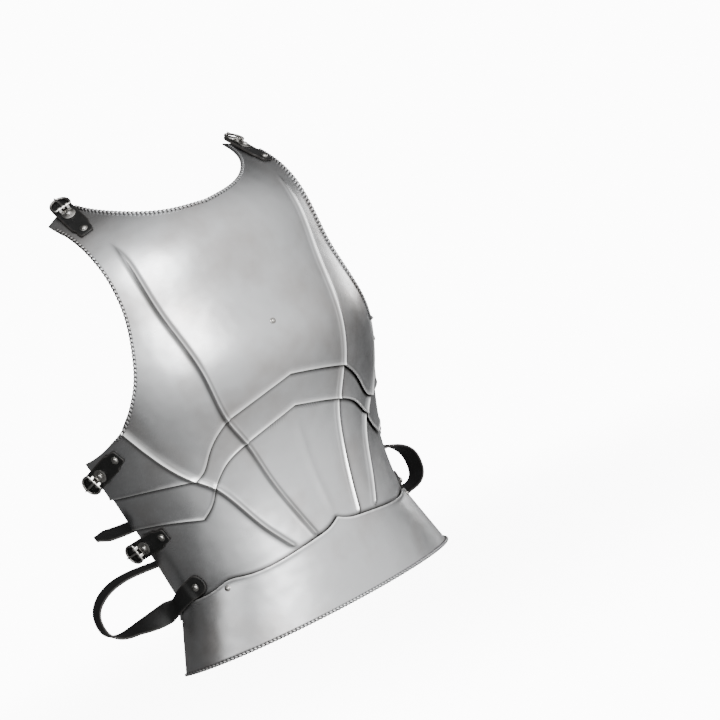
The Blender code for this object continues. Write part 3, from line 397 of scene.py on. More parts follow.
lame_centre = [(0.0, 0.430), (9.0, 0.418), (22.0, 0.400)]
lame_step = [(22.0, 0.400), (32.0, 0.379), (40.2, 0.342)]
lame_cusp = [(40.2, 0.342), (44.5, 0.313), (51.0, 0.291)]
lame_wing = [(51.0, 0.291), (62.0, 0.307), (75.0, 0.320), (side_turn, 0.328)]
foot_share, band_share = 0.108, 0.178
foot_rows, rise_rows = 22, 84
keel_height, keel_turn, keel_foot, keel_top = 0.0009, 3.2, (0.17, 0.22), (0.36, 0.42)
lap_share = lap_run / height
waist_long = stretch(long_crease, band_share, lame_centre[-1][1] + lap_share)
waist_side = stretch(side_crease, band_share, lame_cusp[0][1] + 0.6 * lap_share)
foot_long, foot_side = (stretch(crease, foot_share, band_share) for crease in (long_crease, side_crease))
long_end, side_end = tuple(waist_long(1.0)), tuple(waist_side(1.0))
waist_top = tongue_rise(line_through([*raised(lame_centre[:-1], lap_run), long_end]))
waist_step = line_through([long_end, *raised(lame_step[1:-1], lap_run), side_end])
waist_wing = line_through([side_end, *raised(lame_cusp[-1:], 1.2 * lap_run),
                           *raised(lame_wing[1:], lap_run)])
waist = bmesh.new()
foot_corners, band_corners = (
    [(0.0, share), tuple(long_line(0.0)), tuple(side_line(0.0)), (side_turn, share)]
    for share, long_line, side_line in ((foot_share, foot_long, foot_side),
                                        (band_share, waist_long, waist_side)))
foot_sides = [straight(foot_corners[0], band_corners[0]), foot_long, foot_side,
              straight(foot_corners[3], band_corners[3])]
rise_sides = [straight(band_corners[0], tuple(waist_top(0.0))), waist_long, waist_side,
              straight(band_corners[3], tuple(waist_wing(1.0)))]
rise_tops = [waist_top, waist_step, waist_wing]
for k, (columns, starts, ends) in enumerate(((26, False, True), (22, True, True), (40, True, False))):
    low, high = (straight(*corners[k:k + 2]) for corners in (foot_corners, band_corners))
    lay_patch(waist, low, high, *foot_sides[k:k + 2], columns, foot_rows, starts, ends)
    lay_patch(waist, high, rise_tops[k], *rise_sides[k:k + 2], columns, rise_rows, starts, ends)
skirt_top = line_through([
    (0.0, 0.174), (5.0, 0.162), (11.0, 0.156), (22.0, 0.149), (36.0, 0.143), (48.0, 0.147),
    (56.0, 0.152), (63.0, 0.144), (72.0, 0.138), (90.0, 0.138)])
lame_lines = [line_through(edge) for edge in (lame_centre, lame_step, lame_cusp, lame_wing)]


def keel(turn, share):
    """A faint keel down the middle of the waist."""
    across = np.clip(1 - turn / keel_turn, 0, 1) ** 1.5
    return keel_height * across * ramp(share, *keel_foot) * (1 - ramp(share, *keel_top))


raise_plate(waist, 0, keel, covers=[*lame_lines, skirt_top])
finished("waist_plate_steel", waist, polished_steel, "waist_plate")


# Belly lame: the narrow plate between waist and chest, of the same sheet and creased in line with both,
# so that the long creases run on across all three plates. The rivet on the chest's centre holds it.
lame_rows = 46
chest_bottom = [(0.0, 0.496), (13.0, 0.480), (26.3, 0.463)]
chest_step = [(26.3, 0.463), (31.5, 0.444), (37.0, 0.414), (42.0, 0.383), (46.0, 0.374)]
chest_wing = [(46.0, 0.374), (57.0, 0.386), (70.0, 0.397), (side_turn, 0.408)]
lame_long = stretch(long_crease, lame_centre[-1][1], chest_bottom[-1][1] + lap_share)
lame_side = stretch(side_crease, lame_cusp[0][1], chest_wing[0][1] + lap_share)
wing_top = raised(chest_wing, lap_run)
long_end, side_end = tuple(lame_long(1.0)), tuple(lame_side(1.0))
lame_top = tongue_rise(line_through([*raised(chest_bottom[:-1], lap_run), long_end]))
lame_tops = [lame_top, line_through([long_end, *raised(chest_step[1:-1], lap_run), side_end]),
             straight(side_end, wing_top[1]), line_through(wing_top[1:])]
lame_sides = [straight((0.0, lame_centre[0][1]), tuple(lame_top(0.0))), lame_long, lame_side,
              straight(lame_cusp[-1], wing_top[1]), straight(lame_wing[-1], wing_top[-1])]
lame = bmesh.new()
lame_columns = ((30, False, True), (26, True, True), (16, True, False), (34, False, False))
for k, (columns, starts, ends) in enumerate(lame_columns):
    lay_patch(lame, lame_lines[k], lame_tops[k], *lame_sides[k:k + 2], columns, lame_rows, starts, ends)
chest_lines = [line_through(edge) for edge in (chest_bottom, chest_step, chest_wing)]
raise_plate(lame, 1, lips=lame_lines, covers=chest_lines)
finished("belly_lame_steel", lame, polished_steel, "belly_lame")


# Chest plate: one deeply raised sheet. The neck and arm edges are turned outwards over a wire, and the
# turned edge is then chiselled aslant into a rope, which keeps a blade from sliding off.
rope_pitch, rope_around, rope_steps = 0.0043, 14, 10
rope_groove, rope_round, rope_painted_shade = 0.40, 0.7, 1.6


def lay_rope(bm, line, layer, twist=1.0, level=False):
    """A rolled and roped edge along a line of places, run with the plate on its left.

    level keeps the roll flat for a rim that the piece stands on.
    """
    fine = line(np.linspace(0, 1, 400))
    runs = lengths_along(skin(*fine.T))
    steps = int(runs[-1] / rope_pitch * rope_steps)
    at = np.linspace(0, runs[-1], steps + 1)
    turn, share = (np.interp(at, runs, fine[:, k]) for k in (0, 1))
    inner = skin(turn, share, lap(layer))
    normal = skin_normal(turn, share)
    if level:
        normal[:, 2] = 0.0
        normal /= np.linalg.norm(normal, axis=1, keepdims=True)
        out = np.tile((0.0, 0.0, -1.0), (len(inner), 1))
    else:
        out = np.cross(np.gradient(inner, axis=0), normal)
        out /= np.linalg.norm(out, axis=1, keepdims=True)
    centre = inner + (normal - out) * roll_radius
    if level:
        centre[:, 2] = roll_radius
    tube = bmesh.ops.create_grid(bm, x_segments=steps, y_segments=rope_around, size=0.5)["verts"]
    flat = np.array([vert.co[:2] for vert in tube]) + 0.5
    k = np.rint(flat[:, 0] * steps).astype(int)
    angle = np.rint(flat[:, 1] * rope_around) % rope_around * 2 * math.pi / rope_around
    strand = np.abs(np.sin(math.pi * at[k] / rope_pitch + twist * angle / 2)) ** rope_round
    ends = np.sqrt(np.clip(np.minimum(at[k], runs[-1] - at[k]) / roll_radius, 0.0, 1.0))
    radius = roll_radius * (1 - rope_groove + rope_groove * strand) * ends
    spots = (centre[k] + (np.cos(angle) * radius)[:, None] * out[k]
             + (np.sin(angle) * radius)[:, None] * normal[k])
    # Painted shade: the rope's grooves are darkened, the deeper the darker.
    painted_shade_attribute = bm.verts.layers.float["painted_shade_amount"]
    for vert, spot, full in zip(tube, spots, strand):
        vert.co = spot
        vert[painted_shade_attribute] = min(1.0, rope_painted_shade * (1 - full) ** 1.5)
    bmesh.ops.remove_doubles(bm, verts=tube, dist=1e-6)


neck_edge = [(0.0, 0.885), (16.5, 0.900), (27.5, 0.928), (37.5, 0.962), (45.5, 0.995)]
tip = (60.0, 0.965)
arm_edge = [(64.5, 0.530), (57.5, 0.562), (51.5, 0.603), (46.5, 0.665), (44.0, 0.730), (44.2, 0.790),
            (46.5, 0.860), (51.5, 0.920), tip]
armpit_edge = [(64.5, 0.530), (72.5, 0.514), (83.0, 0.502), (side_turn, 0.498)]
neck_line, arm_line, armpit_line = (line_through(edge) for edge in (neck_edge, arm_edge, armpit_edge))
chest_crease = stretch(long_crease, chest_bottom[-1][1], long_crease[-1][1])
wing_crease = stretch(side_crease, chest_wing[0][1], side_crease[-1][1])
crease_split, neck_part, neck_roll_part = 0.30, 0.90, 0.93
centre_columns, wing_columns, low_rows, high_rows = 36, 40, 26, 56
crown_end = long_crease[-1]


def crown_line(t):
    """The neck's edge, then the last of the shoulder's tip to the crease."""
    t = np.asarray(t, float)
    on_neck = neck_line(np.minimum(t / neck_part, 1.0))
    on_tip = straight(neck_edge[-1], crown_end)(np.clip((t - neck_part) / (1 - neck_part), 0.0, 1.0))
    return np.where(t[..., None] < neck_part, on_neck, on_tip)


def low_crease(t):
    return chest_crease(np.asarray(t) * crease_split)


def high_crease(t):
    return chest_crease(crease_split + np.asarray(t) * (1 - crease_split))


def neck_side(t):
    return neck_line(np.asarray(t) * neck_roll_part)


def neck_roll(t):
    """The neck's edge from one end of its roll over the middle to the other."""
    t = 1 - 2 * np.asarray(t)
    return neck_side(np.abs(t)) * np.stack([np.sign(t), np.ones_like(t)], -1)


chest = bmesh.new()
split_spot = tuple(chest_crease(crease_split))
centre_low, centre_high = chest_bottom[0], neck_edge[0]
centre_split = (0.0, centre_low[1] + (centre_high[1] - centre_low[1]) * crease_split)
across_split, flank_split = straight(centre_split, split_spot), straight(split_spot, arm_edge[0])
lay_patch(chest, chest_lines[0], across_split, straight(centre_low, centre_split), low_crease,
          centre_columns, low_rows, end=True)
lay_patch(chest, across_split, crown_line, straight(centre_split, centre_high), high_crease,
          centre_columns, high_rows, end=True)
lay_patch(chest, chest_lines[1], flank_split, low_crease, wing_crease,
          centre_columns, low_rows, start=True)
lay_patch(chest, flank_split, straight(crown_end, tip), high_crease, arm_line,
          centre_columns, high_rows, start=True)
lay_patch(chest, chest_lines[2], armpit_line, wing_crease, straight(chest_wing[-1], armpit_edge[-1]),
          wing_columns, low_rows, start=True)
arm_roll = line_through([(69.0, 0.5205), *arm_edge[:-1], (57.0, 0.950)])
raise_plate(chest, 2, rolled=(neck_side, arm_roll), lips=chest_lines)
lay_rope(chest, arm_roll, 2)
lay_rope(chest, lambda t: arm_roll(1 - t) * (-1.0, 1.0), 2, -1.0)
lay_rope(chest, neck_roll, 2)
finished("chest_plate_steel", chest, polished_steel, "chest_plate")


# Skirt: a flared band over the foot of the waist plate, riveted at both sides. Its top edge is cut to a
# low cusp at the centre; its hem is turned outwards and roped like the chest's edges.
hem_share, skirt_turn = roll_radius / height, 90.0
skirt_columns, skirt_rows = 80, 30
skirt = bmesh.new()
hem_corners = (0.0, hem_share), (skirt_turn, hem_share)
lay_patch(skirt, straight(*hem_corners), skirt_top, straight(hem_corners[0], skirt_top(0.0)),
          straight(hem_corners[1], skirt_top(1.0)), skirt_columns, skirt_rows)
raise_plate(skirt, 1, lips=[skirt_top])
lay_rope(skirt, straight((-skirt_turn, 0.0), (skirt_turn, 0.0)), 1, level=True)
finished("skirt_plate_steel", skirt, polished_steel, "skirt_plate")


# Plate rivets: soft steel rivets with a low polished dome over a thin washer, one through all three
# plates on the chest's centre line and one at each side of the skirt, hammered flat inside.
shank_radius, head_radius, head_height = 0.0016, 0.0032, 0.0010
dome_radius, small_dome_radius, dome_height = 0.0042, 0.0033, 0.0024
seat_gap, rear_air, centre_air = 0.0003, 0.0013, 0.0022
fitting_smooth, wire_smooth = 40.0, 80.0

# Bright polished steel, a little tarnished by handling: patchy grey tones and fine scuffs that break the
# glint on domes and wire.
bright_steel, bright_tree, bright_shader = new_material("bright_polished_steel_fittings", 1.0)
bright_place = add_node(bright_tree, "TexCoord").outputs["Object"]
tarnish = add_node(bright_tree, "TexNoise", {
    "Vector": bright_place, "Scale": 260.0, "Detail": 4.0})
add_node(bright_tree, "Mix", {
    0: tarnish.outputs["Fac"], 6: linear("#C9C8C5"), 7: linear("#77736E")},
    {2: bright_shader.inputs["Base Color"]}, data_type="RGBA")
scuffs = add_node(bright_tree, "TexNoise", {
    "Vector": bright_place, "Scale": 900.0, "Detail": 2.0})
add_node(bright_tree, "MapRange", {
    "Value": scuffs.outputs["Fac"], "To Min": 0.12, "To Max": 0.34},
    {"Result": bright_shader.inputs["Roughness"]})
add_node(bright_tree, "Bump", {
    "Height": scuffs.outputs["Fac"], "Strength": 0.2, "Distance": 0.0001},
    {"Normal": bright_shader.inputs["Normal"]})


def spin_piece(bm, profile, matrix, segments=32):
    """Spins a profile of (radius, height) points about the Z axis of a frame."""
    chain = [bmesh.ops.create_vert(bm, co=(radius, 0.0, level))["vert"][0] for radius, level in profile]
    edges = [bm.edges.new(pair) for pair in zip(chain, chain[1:])]
    bmesh.ops.spin(bm, geom=chain + edges, angle=2 * math.pi, steps=segments, use_merge=True,
                   axis=(0, 0, 1), cent=(0, 0, 0))
    made = [vert for vert in bm.verts if not vert.tag]
    bmesh.ops.remove_doubles(bm, verts=made, dist=1e-6)
    made = [vert for vert in bm.verts if not vert.tag]
    bmesh.ops.transform(bm, matrix=matrix, verts=made)
    for vert in bm.verts:
        vert.tag = True


def rivet_profile(radius, grip):
    """Dome, washer, shank and the hammered head inside."""
    top = dome_height * radius / dome_radius
    dome = [(0.78 * radius * math.sin(a), top * (0.22 + 0.78 * math.cos(a)))
            for a in np.linspace(0.0, math.pi / 2, 9)]
    washer = [(0.93 * radius, 0.20 * top), (radius, 0.12 * top), (radius, 0.0)]
    shank = [(shank_radius, 0.0), (shank_radius, -grip), (head_radius, -grip)]
    head = [(0.8 * head_radius, -grip - 0.7 * head_height), (0.0, -grip - head_height)]
    return dome + washer + shank + head


def seat(place, direction, lift):
    """Frame on the body: Y along the direction, Z off the skin, X across."""
    normal = Vector(skin_normal(*place))
    ahead = (direction - normal * direction.dot(normal)).normalized()
    origin = Vector(bare_skin(*place)) + normal * lift
    return Matrix.Translation(origin) @ Matrix((ahead.cross(normal), ahead, normal)).transposed().to_4x4()


def add_rivet(node, matrix, grip, radius):
    """A rivet whose washer lies at the frame's origin and whose shank is grip long."""
    rivet = bmesh.new()
    spin_piece(rivet, rivet_profile(radius, grip), matrix)
    finished(f"{node}_head", rivet, bright_steel, node, fitting_smooth)


upward = Vector((0.0, 0.0, 1.0))
sides = (("right", Matrix.Diagonal((-1.0, 1.0, 1.0, 1.0))), ("left", Matrix.Identity(4)))
centre_rivet_place, skirt_rivet_place = (0.0, 0.604), (57.0, 0.137)
add_rivet("centre_rivet", seat(centre_rivet_place, upward, lap(2) + sheet + seat_gap),
          seat_gap + sheet + lap(2) + centre_air, small_dome_radius)
for side, flip in sides:
    at = flip @ seat(skirt_rivet_place, upward, lap(1) + sheet + seat_gap) @ flip
    add_rivet(f"skirt_rivet_{side}", at, seat_gap + sheet + lap(1) + rear_air, small_dome_radius)


# Buckle tabs: six straps of 2.5 mm black harness leather, cut to a lobe at the plate's end and round
# at the other. Each is riveted once through the plate and leaves it straight past the edge.
leather_thick, leather_edge, leather_smooth = 0.0025, 0.0009, 50.0
tab_width, tab_lobe_step, tab_end, tab_step, tab_air = 0.022, 0.0025, 0.010, 0.0055, 0.0005
tab_leaves, tab_rows, blunt = 0.006, 44, 0.995
rivet_spacing, chape_to_bar, ring_to_bar = 0.030, 0.0105, 0.0060
tab_length = rivet_spacing + chape_to_bar + ring_to_bar
tabs = [("shoulder", (44.0, 0.925), (48.5, 0.975), 2), ("chest_side", (73.0, 0.484), (90.5, 0.464), 2),
        ("waist_side", (75.5, 0.292), (92.0, 0.286), 0)]

# Black harness leather: dyed through and waxed, with a fine pebbled grain about 0.8 mm across, a soft
# wax sheen, and greyer, smoother burnished edges where it has rubbed.
black_leather, leather_tree, leather_shader = new_material("black_harness_leather")
leather_shader.inputs["Specular IOR Level"].default_value = 0.35
leather_coord = add_node(leather_tree, "TexCoord")
leather_place = leather_coord.outputs["Object"]
pebbles = add_node(leather_tree, "TexVoronoi", {
    "Vector": leather_place, "Scale": 1250.0}, feature="DISTANCE_TO_EDGE")
wear_and_painted_highlight = add_node(leather_tree, "TexNoise", {
    "Vector": leather_place, "Scale": 120.0, "Detail": 5.0, "Roughness": 0.65})
across_strip = add_node(leather_tree, "SeparateXYZ", {"Vector": leather_coord.outputs["UV"]})
off_centre = add_node(leather_tree, "Math", {
    0: across_strip.outputs["X"], 1: 0.5}, operation="SUBTRACT")
off_centre = add_node(leather_tree, "Math", {
    0: off_centre.outputs["Value"]}, operation="ABSOLUTE")
burnish = add_node(leather_tree, "MapRange", {
    "Value": off_centre.outputs["Value"], "From Min": 0.42, "From Max": 0.50})
rubbed = add_node(leather_tree, "Math", {
    0: burnish.outputs["Result"], 1: wear_and_painted_highlight.outputs["Fac"]}, operation="MULTIPLY")
add_node(leather_tree, "Mix", {
    0: rubbed.outputs["Value"], 6: linear("#0A0A0A"), 7: linear("#3A3735")},
    {2: leather_shader.inputs["Base Color"]}, data_type="RGBA")
add_node(leather_tree, "MapRange", {
    "Value": wear_and_painted_highlight.outputs["Fac"], "From Min": 0.3, "From Max": 0.7, "To Min": 0.42, "To Max": 0.62},
    {"Result": leather_shader.inputs["Roughness"]})
crumple = add_node(leather_tree, "Bump", {
    "Height": wear_and_painted_highlight.outputs["Fac"], "Strength": 0.35, "Distance": 0.0008})
add_node(leather_tree, "Bump", {
    "Height": pebbles.outputs["Distance"], "Strength": 0.5, "Distance": 0.00025,
    "Normal": crumple.outputs["Normal"]}, {"Normal": leather_shader.inputs["Normal"]})


walk_step = 0.002


def walk(place, direction, distance):
    """Goes a distance over the body's form: the new place and the direction there."""
    steps = max(1, round(distance / walk_step))
    turn, share = place
    for _ in range(steps):
        normal = Vector(skin_normal(turn, share))
        direction = (direction - normal * direction.dot(normal)).normalized()
        across = (bare_skin(turn + 0.1, share) - bare_skin(turn - 0.1, share)) / 0.2
        up = (bare_skin(turn, share + 0.001) - bare_skin(turn, share - 0.001)) / 0.002
        goal = np.array(direction) * distance / steps
        move = np.linalg.lstsq(np.stack([across, up], -1), goal, rcond=None)[0]
        turn, share = turn + move[0], share + move[1]
    normal = Vector(skin_normal(turn, share))
    return (float(turn), float(share)), (direction - normal * direction.dot(normal)).normalized()


def tab_frame(place, direction, run, lift):
    """Frame on a tab, which lies on the body at its rivet and goes on straight past tab_leaves."""
    spot, ahead = walk(place, direction if run > 0 else -direction, min(abs(run), tab_leaves))
    if run <= 0:
        ahead = -ahead
    return seat(spot, ahead, lift) @ Matrix.Translation((0.0, max(run - tab_leaves, 0.0), 0.0)), spot


def square_off(run):
    """0 over a tab's lobe and 1 where the tab has its full width."""
    return float(ramp(run, 0.5 * tab_step, 1.5 * tab_step))


def tab_half_width(run):
    lobe = tab_width / 2 - tab_lobe_step
    if run < 0:
        return lobe * math.sqrt(max(0.0, 1 - (run / tab_end) ** 2))
    if run > tab_length:
        return tab_width / 2 * math.sqrt(max(0.0, 1 - (2 * (run - tab_length) / tab_width) ** 2))
    return lobe + tab_lobe_step * square_off(run)


def lay_strip(bm, rows):
    """Sweeps leather with rounded edges along rows of (left, middle, right, normal) of its top face.

    Its UV holds the share across and the metres along.
    """
    rows = [[np.array(part, float) for part in row] for row in rows]
    runs = lengths_along([row[1] for row in rows])
    corner = [(leather_edge * (math.sin(a) - 1), leather_edge * (math.cos(a) - 1))
              for a in np.linspace(0.1, math.pi / 2, 5)]
    top = [(s, -s * leather_edge if abs(s) == 1 else 0.0, 0.0) for s in np.linspace(-1.0, 1.0, 13)]
    side = [(1.0, shift, drop) for shift, drop in corner]
    half_ring = top + side
    under = [(s, shift, -leather_thick - drop) for s, shift, drop in half_ring[::-1]]
    ring = half_ring + under
    ring += [(-s, -shift, drop) for s, shift, drop in under[:len(side)][::-1] + side[::-1]]
    count = len(ring)
    strip = bmesh.ops.create_grid(bm, x_segments=count, y_segments=len(rows) - 1, size=0.5)["verts"]
    layer = bm.loops.layers.uv.verify()
    marks = {}
    for vert in strip:
        k, j = round((vert.co.x + 0.5) * count) % count, round((vert.co.y + 0.5) * (len(rows) - 1))
        start, middle, end, normal = rows[j]
        half = np.linalg.norm(end - start) / 2
        s, shift, drop = ring[k]
        s = s + shift / half if half > 2 * leather_edge else s * (1 - 0.5 * (shift != 0))
        vert.co = middle + s * (end - start) / 2 + s * s * ((end + start) / 2 - middle) + normal * drop
        marks[vert] = ((s + 1) / 2, float(runs[j]))
    for face in bm.faces:
        for loop in face.loops:
            loop[layer].uv = marks[loop.vert]
    bmesh.ops.remove_doubles(bm, verts=bm.verts, dist=1e-6)
    bmesh.ops.holes_fill(bm, edges=[edge for edge in bm.edges if edge.is_boundary])


quarter = np.linspace(0.0, math.pi / 2, 9)[1:-1]
tab_runs = [-tab_end * blunt, *(-tab_end * np.cos(quarter)), *np.linspace(0.0, tab_length, tab_rows),
            *(tab_length + tab_width / 2 * np.sin(quarter)), tab_length + tab_width / 2 * blunt]
tab_spots = {}
for kind, place, target, layer in tabs:
    lift = lap(layer) + sheet + tab_air
    heading = Vector(bare_skin(*target) - bare_skin(*place)).normalized()
    rows = []
    for run in tab_runs:
        at, spot = tab_frame(place, heading, run, lift + leather_thick)
        across, normal = at.col[0].to_3d(), at.col[2].to_3d()
        half = tab_half_width(run)
        edges = []
        for sign in (-1.0, 1.0):
            edge, _ = walk(spot, across * sign, half)
            bent = Vector(skin(*np.array([edge]).T, lift + leather_thick)[0])
            flat_edge = at.translation + across * sign * half
            edges.append(bent.lerp(flat_edge, square_off(run)))
        rows.append([edges[0], at.translation, edges[1], normal])
    for side, flip in sides:
        tab = bmesh.new()
        lay_strip(tab, [[flip @ Vector(part) for part in row] for row in rows])
        name = f"{kind}_{side}"
        finished(f"{name}_tab_leather", tab, black_leather, f"{name}_tab",
                 leather_smooth)
        near = flip @ tab_frame(place, heading, 0.0, lift + leather_thick + seat_gap)[0] @ flip
        tab_spots[name] = near, (place, heading, lift + leather_thick, flip)


# Tab rivets and buckle rivets: larger domed steel rivets, polished like the small ones, one through
# leather and plate and one through buckle plate and leather, both hammered flat behind.
bar_radius, bar_clearance, knuckle_wall = 0.0014, 0.0003, 0.0009
knuckle_radius = bar_radius + bar_clearance + knuckle_wall
bar_lift = knuckle_radius + seat_gap
chape_steel, chape_radius = 0.0012, 0.0075
bar_frames = {}
for name, (near, (place, heading, top, flip)) in tab_spots.items():
    bar = flip @ tab_frame(place, heading, rivet_spacing + chape_to_bar, top + bar_lift)[0] @ flip
    bar_frames[name] = bar
    grip = seat_gap + leather_thick + tab_air + sheet + rear_air
    add_rivet(f"{name}_tab_rivet", near, grip, dome_radius)
    far = bar @ Matrix.Translation((0.0, -chape_to_bar, chape_steel - knuckle_radius + seat_gap))
    add_rivet(f"{name}_buckle_rivet", far, 3 * seat_gap + chape_steel + leather_thick, dome_radius)


# Buckle plates, rings and tongues: a round steel disc whose two ears curl round the bar, a ring of
# 2.8 mm wire that closes with that straight bar, and a flat tongue curled round its middle.
knuckle_width, knuckle_place, ear_bend, ear_foot = 0.0030, 0.0046, 0.0040, 0.0075
ring_radius = 0.0105
tongue_width, tongue_taper, tongue_steel = 0.0026, 0.45, 0.0009
disc_bevel, disc_bevel_drop, strip_rim = 0.0007, 0.0004, 0.00015


def bend_strip(bm, path, widths, thickness, matrix, place=0.0):
    """A flat strip bent along a path in the Y-Z plane, thickened to its right-hand side."""
    path = np.array(path, float)
    strip = bmesh.new()
    grid = bmesh.ops.create_grid(strip, x_segments=4, y_segments=len(path) - 1, size=0.5)["verts"]
    for vert in grid:
        j = round((vert.co.y + 0.5) * (len(path) - 1))
        vert.co = (place + vert.co.x * widths[j], path[j][0], path[j][1])
    bmesh.ops.recalc_face_normals(strip, faces=strip.faces)
    strip.normal_update()
    thicken(strip, thickness, rim=strip_rim)
    bmesh.ops.transform(strip, matrix=matrix, verts=strip.verts)
    mesh = bpy.data.meshes.new("strip")
    strip.to_mesh(mesh)
    strip.free()
    bm.from_mesh(mesh)
    bpy.data.meshes.remove(mesh)


def curl(radius, start, end, count=18):
    """An arc about the bar in the Y-Z plane, in degrees from Y to Z."""
    angles = np.radians(np.linspace(start, end, count))
    return [(radius * math.cos(a), radius * math.sin(a)) for a in angles]


for name, bar in bar_frames.items():
    plate = bmesh.new()
    disc_top = chape_steel - knuckle_radius
    disc_profile = [(0.0, disc_top), (chape_radius - disc_bevel, disc_top),
                    (chape_radius, disc_top - disc_bevel_drop), (chape_radius, disc_top - chape_steel),
                    (0.0, disc_top - chape_steel)]
    spin_piece(plate, disc_profile, bar @ Matrix.Translation((0.0, -chape_to_bar, 0.0)), 40)
    ear = curl(knuckle_radius, -120, 150) + [(-ear_bend, disc_top + 0.0001), (-ear_foot, disc_top)]
    for sign in (-1.0, 1.0):
        bend_strip(plate, ear, [knuckle_width] * len(ear), knuckle_wall, bar, sign * knuckle_place)
    finished(f"{name}_buckle_plate_steel", plate, bright_steel, f"{name}_buckle_plate",
             fitting_smooth)

    droop = math.asin((knuckle_radius - bar_radius) / (ring_to_bar + ring_radius))
    lean = bar @ Matrix.Rotation(-droop, 4, "X")
    reach = math.degrees(math.asin(ring_to_bar / ring_radius))
    bend = np.radians(np.linspace(-90 - reach, 90 + reach, 72))
    hoop = [(ring_radius * math.sin(a), ring_to_bar + ring_radius * math.cos(a)) for a in bend]
    shaft = [(x, 0.0) for x in np.linspace(hoop[-1][0], hoop[0][0], 16)[1:-1]]
    loop_path = np.array(hoop + shaft)
    ring = bmesh.new()
    count, around = len(loop_path), 16
    tube = bmesh.ops.create_grid(ring, x_segments=count, y_segments=around, size=0.5)["verts"]
    ahead = np.roll(loop_path, -1, axis=0) - np.roll(loop_path, 1, axis=0)
    ahead /= np.linalg.norm(ahead, axis=1, keepdims=True)
    for vert in tube:
        k = round((vert.co.x + 0.5) * count) % count
        a = round((vert.co.y + 0.5) * around) % around * 2 * math.pi / around
        sideways = Vector((ahead[k][1], -ahead[k][0], 0.0))
        vert.co = lean @ (Vector((*loop_path[k], 0.0)) + bar_radius * (math.cos(a) * sideways
                                                                      + math.sin(a) * upward))
    bmesh.ops.remove_doubles(ring, verts=ring.verts, dist=1e-6)
    finished(f"{name}_buckle_ring_steel", ring, bright_steel, f"{name}_buckle_ring",
             wire_smooth, f"{name}_ring")

    tongue = bmesh.new()
    tongue_top = bar_radius + seat_gap + tongue_steel
    tongue_tip = ring_to_bar + ring_radius + bar_radius
    pin = curl(knuckle_radius, -60, -270, 20)
    pin += [(y, tongue_top) for y in np.linspace(0.002, tongue_tip, 10)]
    taper = [tongue_width * (1.0 - tongue_taper * max(0.0, y / tongue_tip)) for y, _ in pin]
    bend_strip(tongue, pin, taper, tongue_steel, lean)
    finished(f"{name}_buckle_tongue_steel", tongue, bright_steel, f"{name}_buckle_tongue",
             fitting_smooth, f"{name}_tongue")


# Waist straps: two long strips of the same leather, each riveted once at the side of the waist over the
# skirt's edge and bent back on itself behind the plate, as stiff new strap stands.
strap_width, strap_reach, strap_on_body = 0.024, 0.080, 0.041
strap_rise = (0.0055, 0.0120)
strap_bow, strap_lean, strap_free, strap_steps = 0.0004, 0.19, 0.012, 110
strap_tip, strap_tip_run = 0.45, 0.014
strap_rivet, strap_heading = (73.0, 0.167), (95.0, 0.138)
# Out, back and up from the end of the flat part, in shares of strap_reach, and the twist in degrees.
strap_loop = [
    (0.000, 0.000, 0.000, 0), (0.110, 0.190, -0.040, 22), (0.290, 0.310, -0.060, 45),
    (0.500, 0.375, -0.065, 66), (0.710, 0.416, -0.055, 78), (0.860, 0.445, 0.040, 86),
    (0.905, 0.453, 0.190, 88), (0.875, 0.447, 0.365, 84), (0.735, 0.421, 0.515, 79),
    (0.525, 0.381, 0.605, 77), (0.200, 0.320, 0.630, 77), (-0.140, 0.256, 0.605, 78),
    (-0.415, 0.205, 0.625, 80), (-0.580, 0.175, 0.755, 82), (-0.620, 0.165, 0.915, 84),
    (-0.565, 0.175, 1.075, 84), (-0.380, 0.213, 1.177, 72), (-0.015, 0.279, 1.203, 62),
    (0.475, 0.371, 1.253, 58)]
heading = Vector(bare_skin(*strap_heading) - bare_skin(*strap_rivet)).normalized()
rows = []
for run in [-blunt * tab_end, *(-tab_end * np.cos(np.linspace(0.1, math.pi / 2, 8))),
            *np.linspace(0.001, strap_on_body, 24)]:
    spot, ahead = walk(strap_rivet, heading if run > 0 else -heading, abs(run))
    if run <= 0:
        ahead = -ahead
    over = float(np.clip((run - strap_rise[0]) / (strap_rise[1] - strap_rise[0]), 0.0, 1.0))
    lift = sheet + tab_air + strap_bow + lap(1) * over + leather_thick
    half = strap_width / 2 * (math.sqrt(max(0.0, 1 - (run / tab_end) ** 2)) if run < 0 else 1.0)
    at = seat(spot, ahead, lift)
    edges = []
    for sign in (-1.0, 1.0):
        edge, _ = walk(spot, at.col[0].to_3d() * sign, half)
        edges.append(Vector(bare_skin(*edge) + skin_normal(*edge) * lift))
    rows.append([edges[0], (edges[0] + edges[1]) / 2, edges[1], at.col[2].to_3d()])
start = rows[-1][1] - rows[-1][3] * leather_thick / 2
loop_table = np.array(strap_loop)
spots = np.array(start) + loop_table[:, :3] * strap_reach
runs = lengths_along(spots)
path = natural(runs, spots)
for run in np.linspace(strap_free, runs[-1], strap_steps):
    ahead = Vector(path(run + 0.0005) - path(run - 0.0005)).normalized()
    turn = math.radians(float(np.interp(run, runs, loop_table[:, 3])))
    wide = Vector((-math.sin(turn) * strap_lean, math.sin(turn), math.cos(turn)))
    wide = (wide - ahead * wide.dot(ahead)).normalized()
    through = ahead.cross(wide).normalized()
    narrow = float(ramp(run, runs[-1] - strap_tip_run, runs[-1]))
    half = strap_width / 2 * (1 - (1 - strap_tip) * narrow)
    middle = Vector(path(run)) + through * leather_thick / 2
    rows.append([middle + wide * half, middle, middle - wide * half, through])
grip = (Vector(bare_skin(*strap_rivet)) - (rows[8][0] + rows[8][2]) / 2).length + 3 * strap_bow
for side, flip in sides:
    strap = bmesh.new()
    lay_strip(strap, [[flip @ Vector(part) for part in row] for row in rows])
    finished(f"waist_strap_{side}_leather", strap, black_leather, f"waist_strap_{side}",
             leather_smooth)
    add_rivet(f"waist_strap_rivet_{side}", flip @ seat(strap_rivet, Vector((0.0, 1.0, 0.0)), grip) @ flip,
              grip + rear_air, dome_radius)


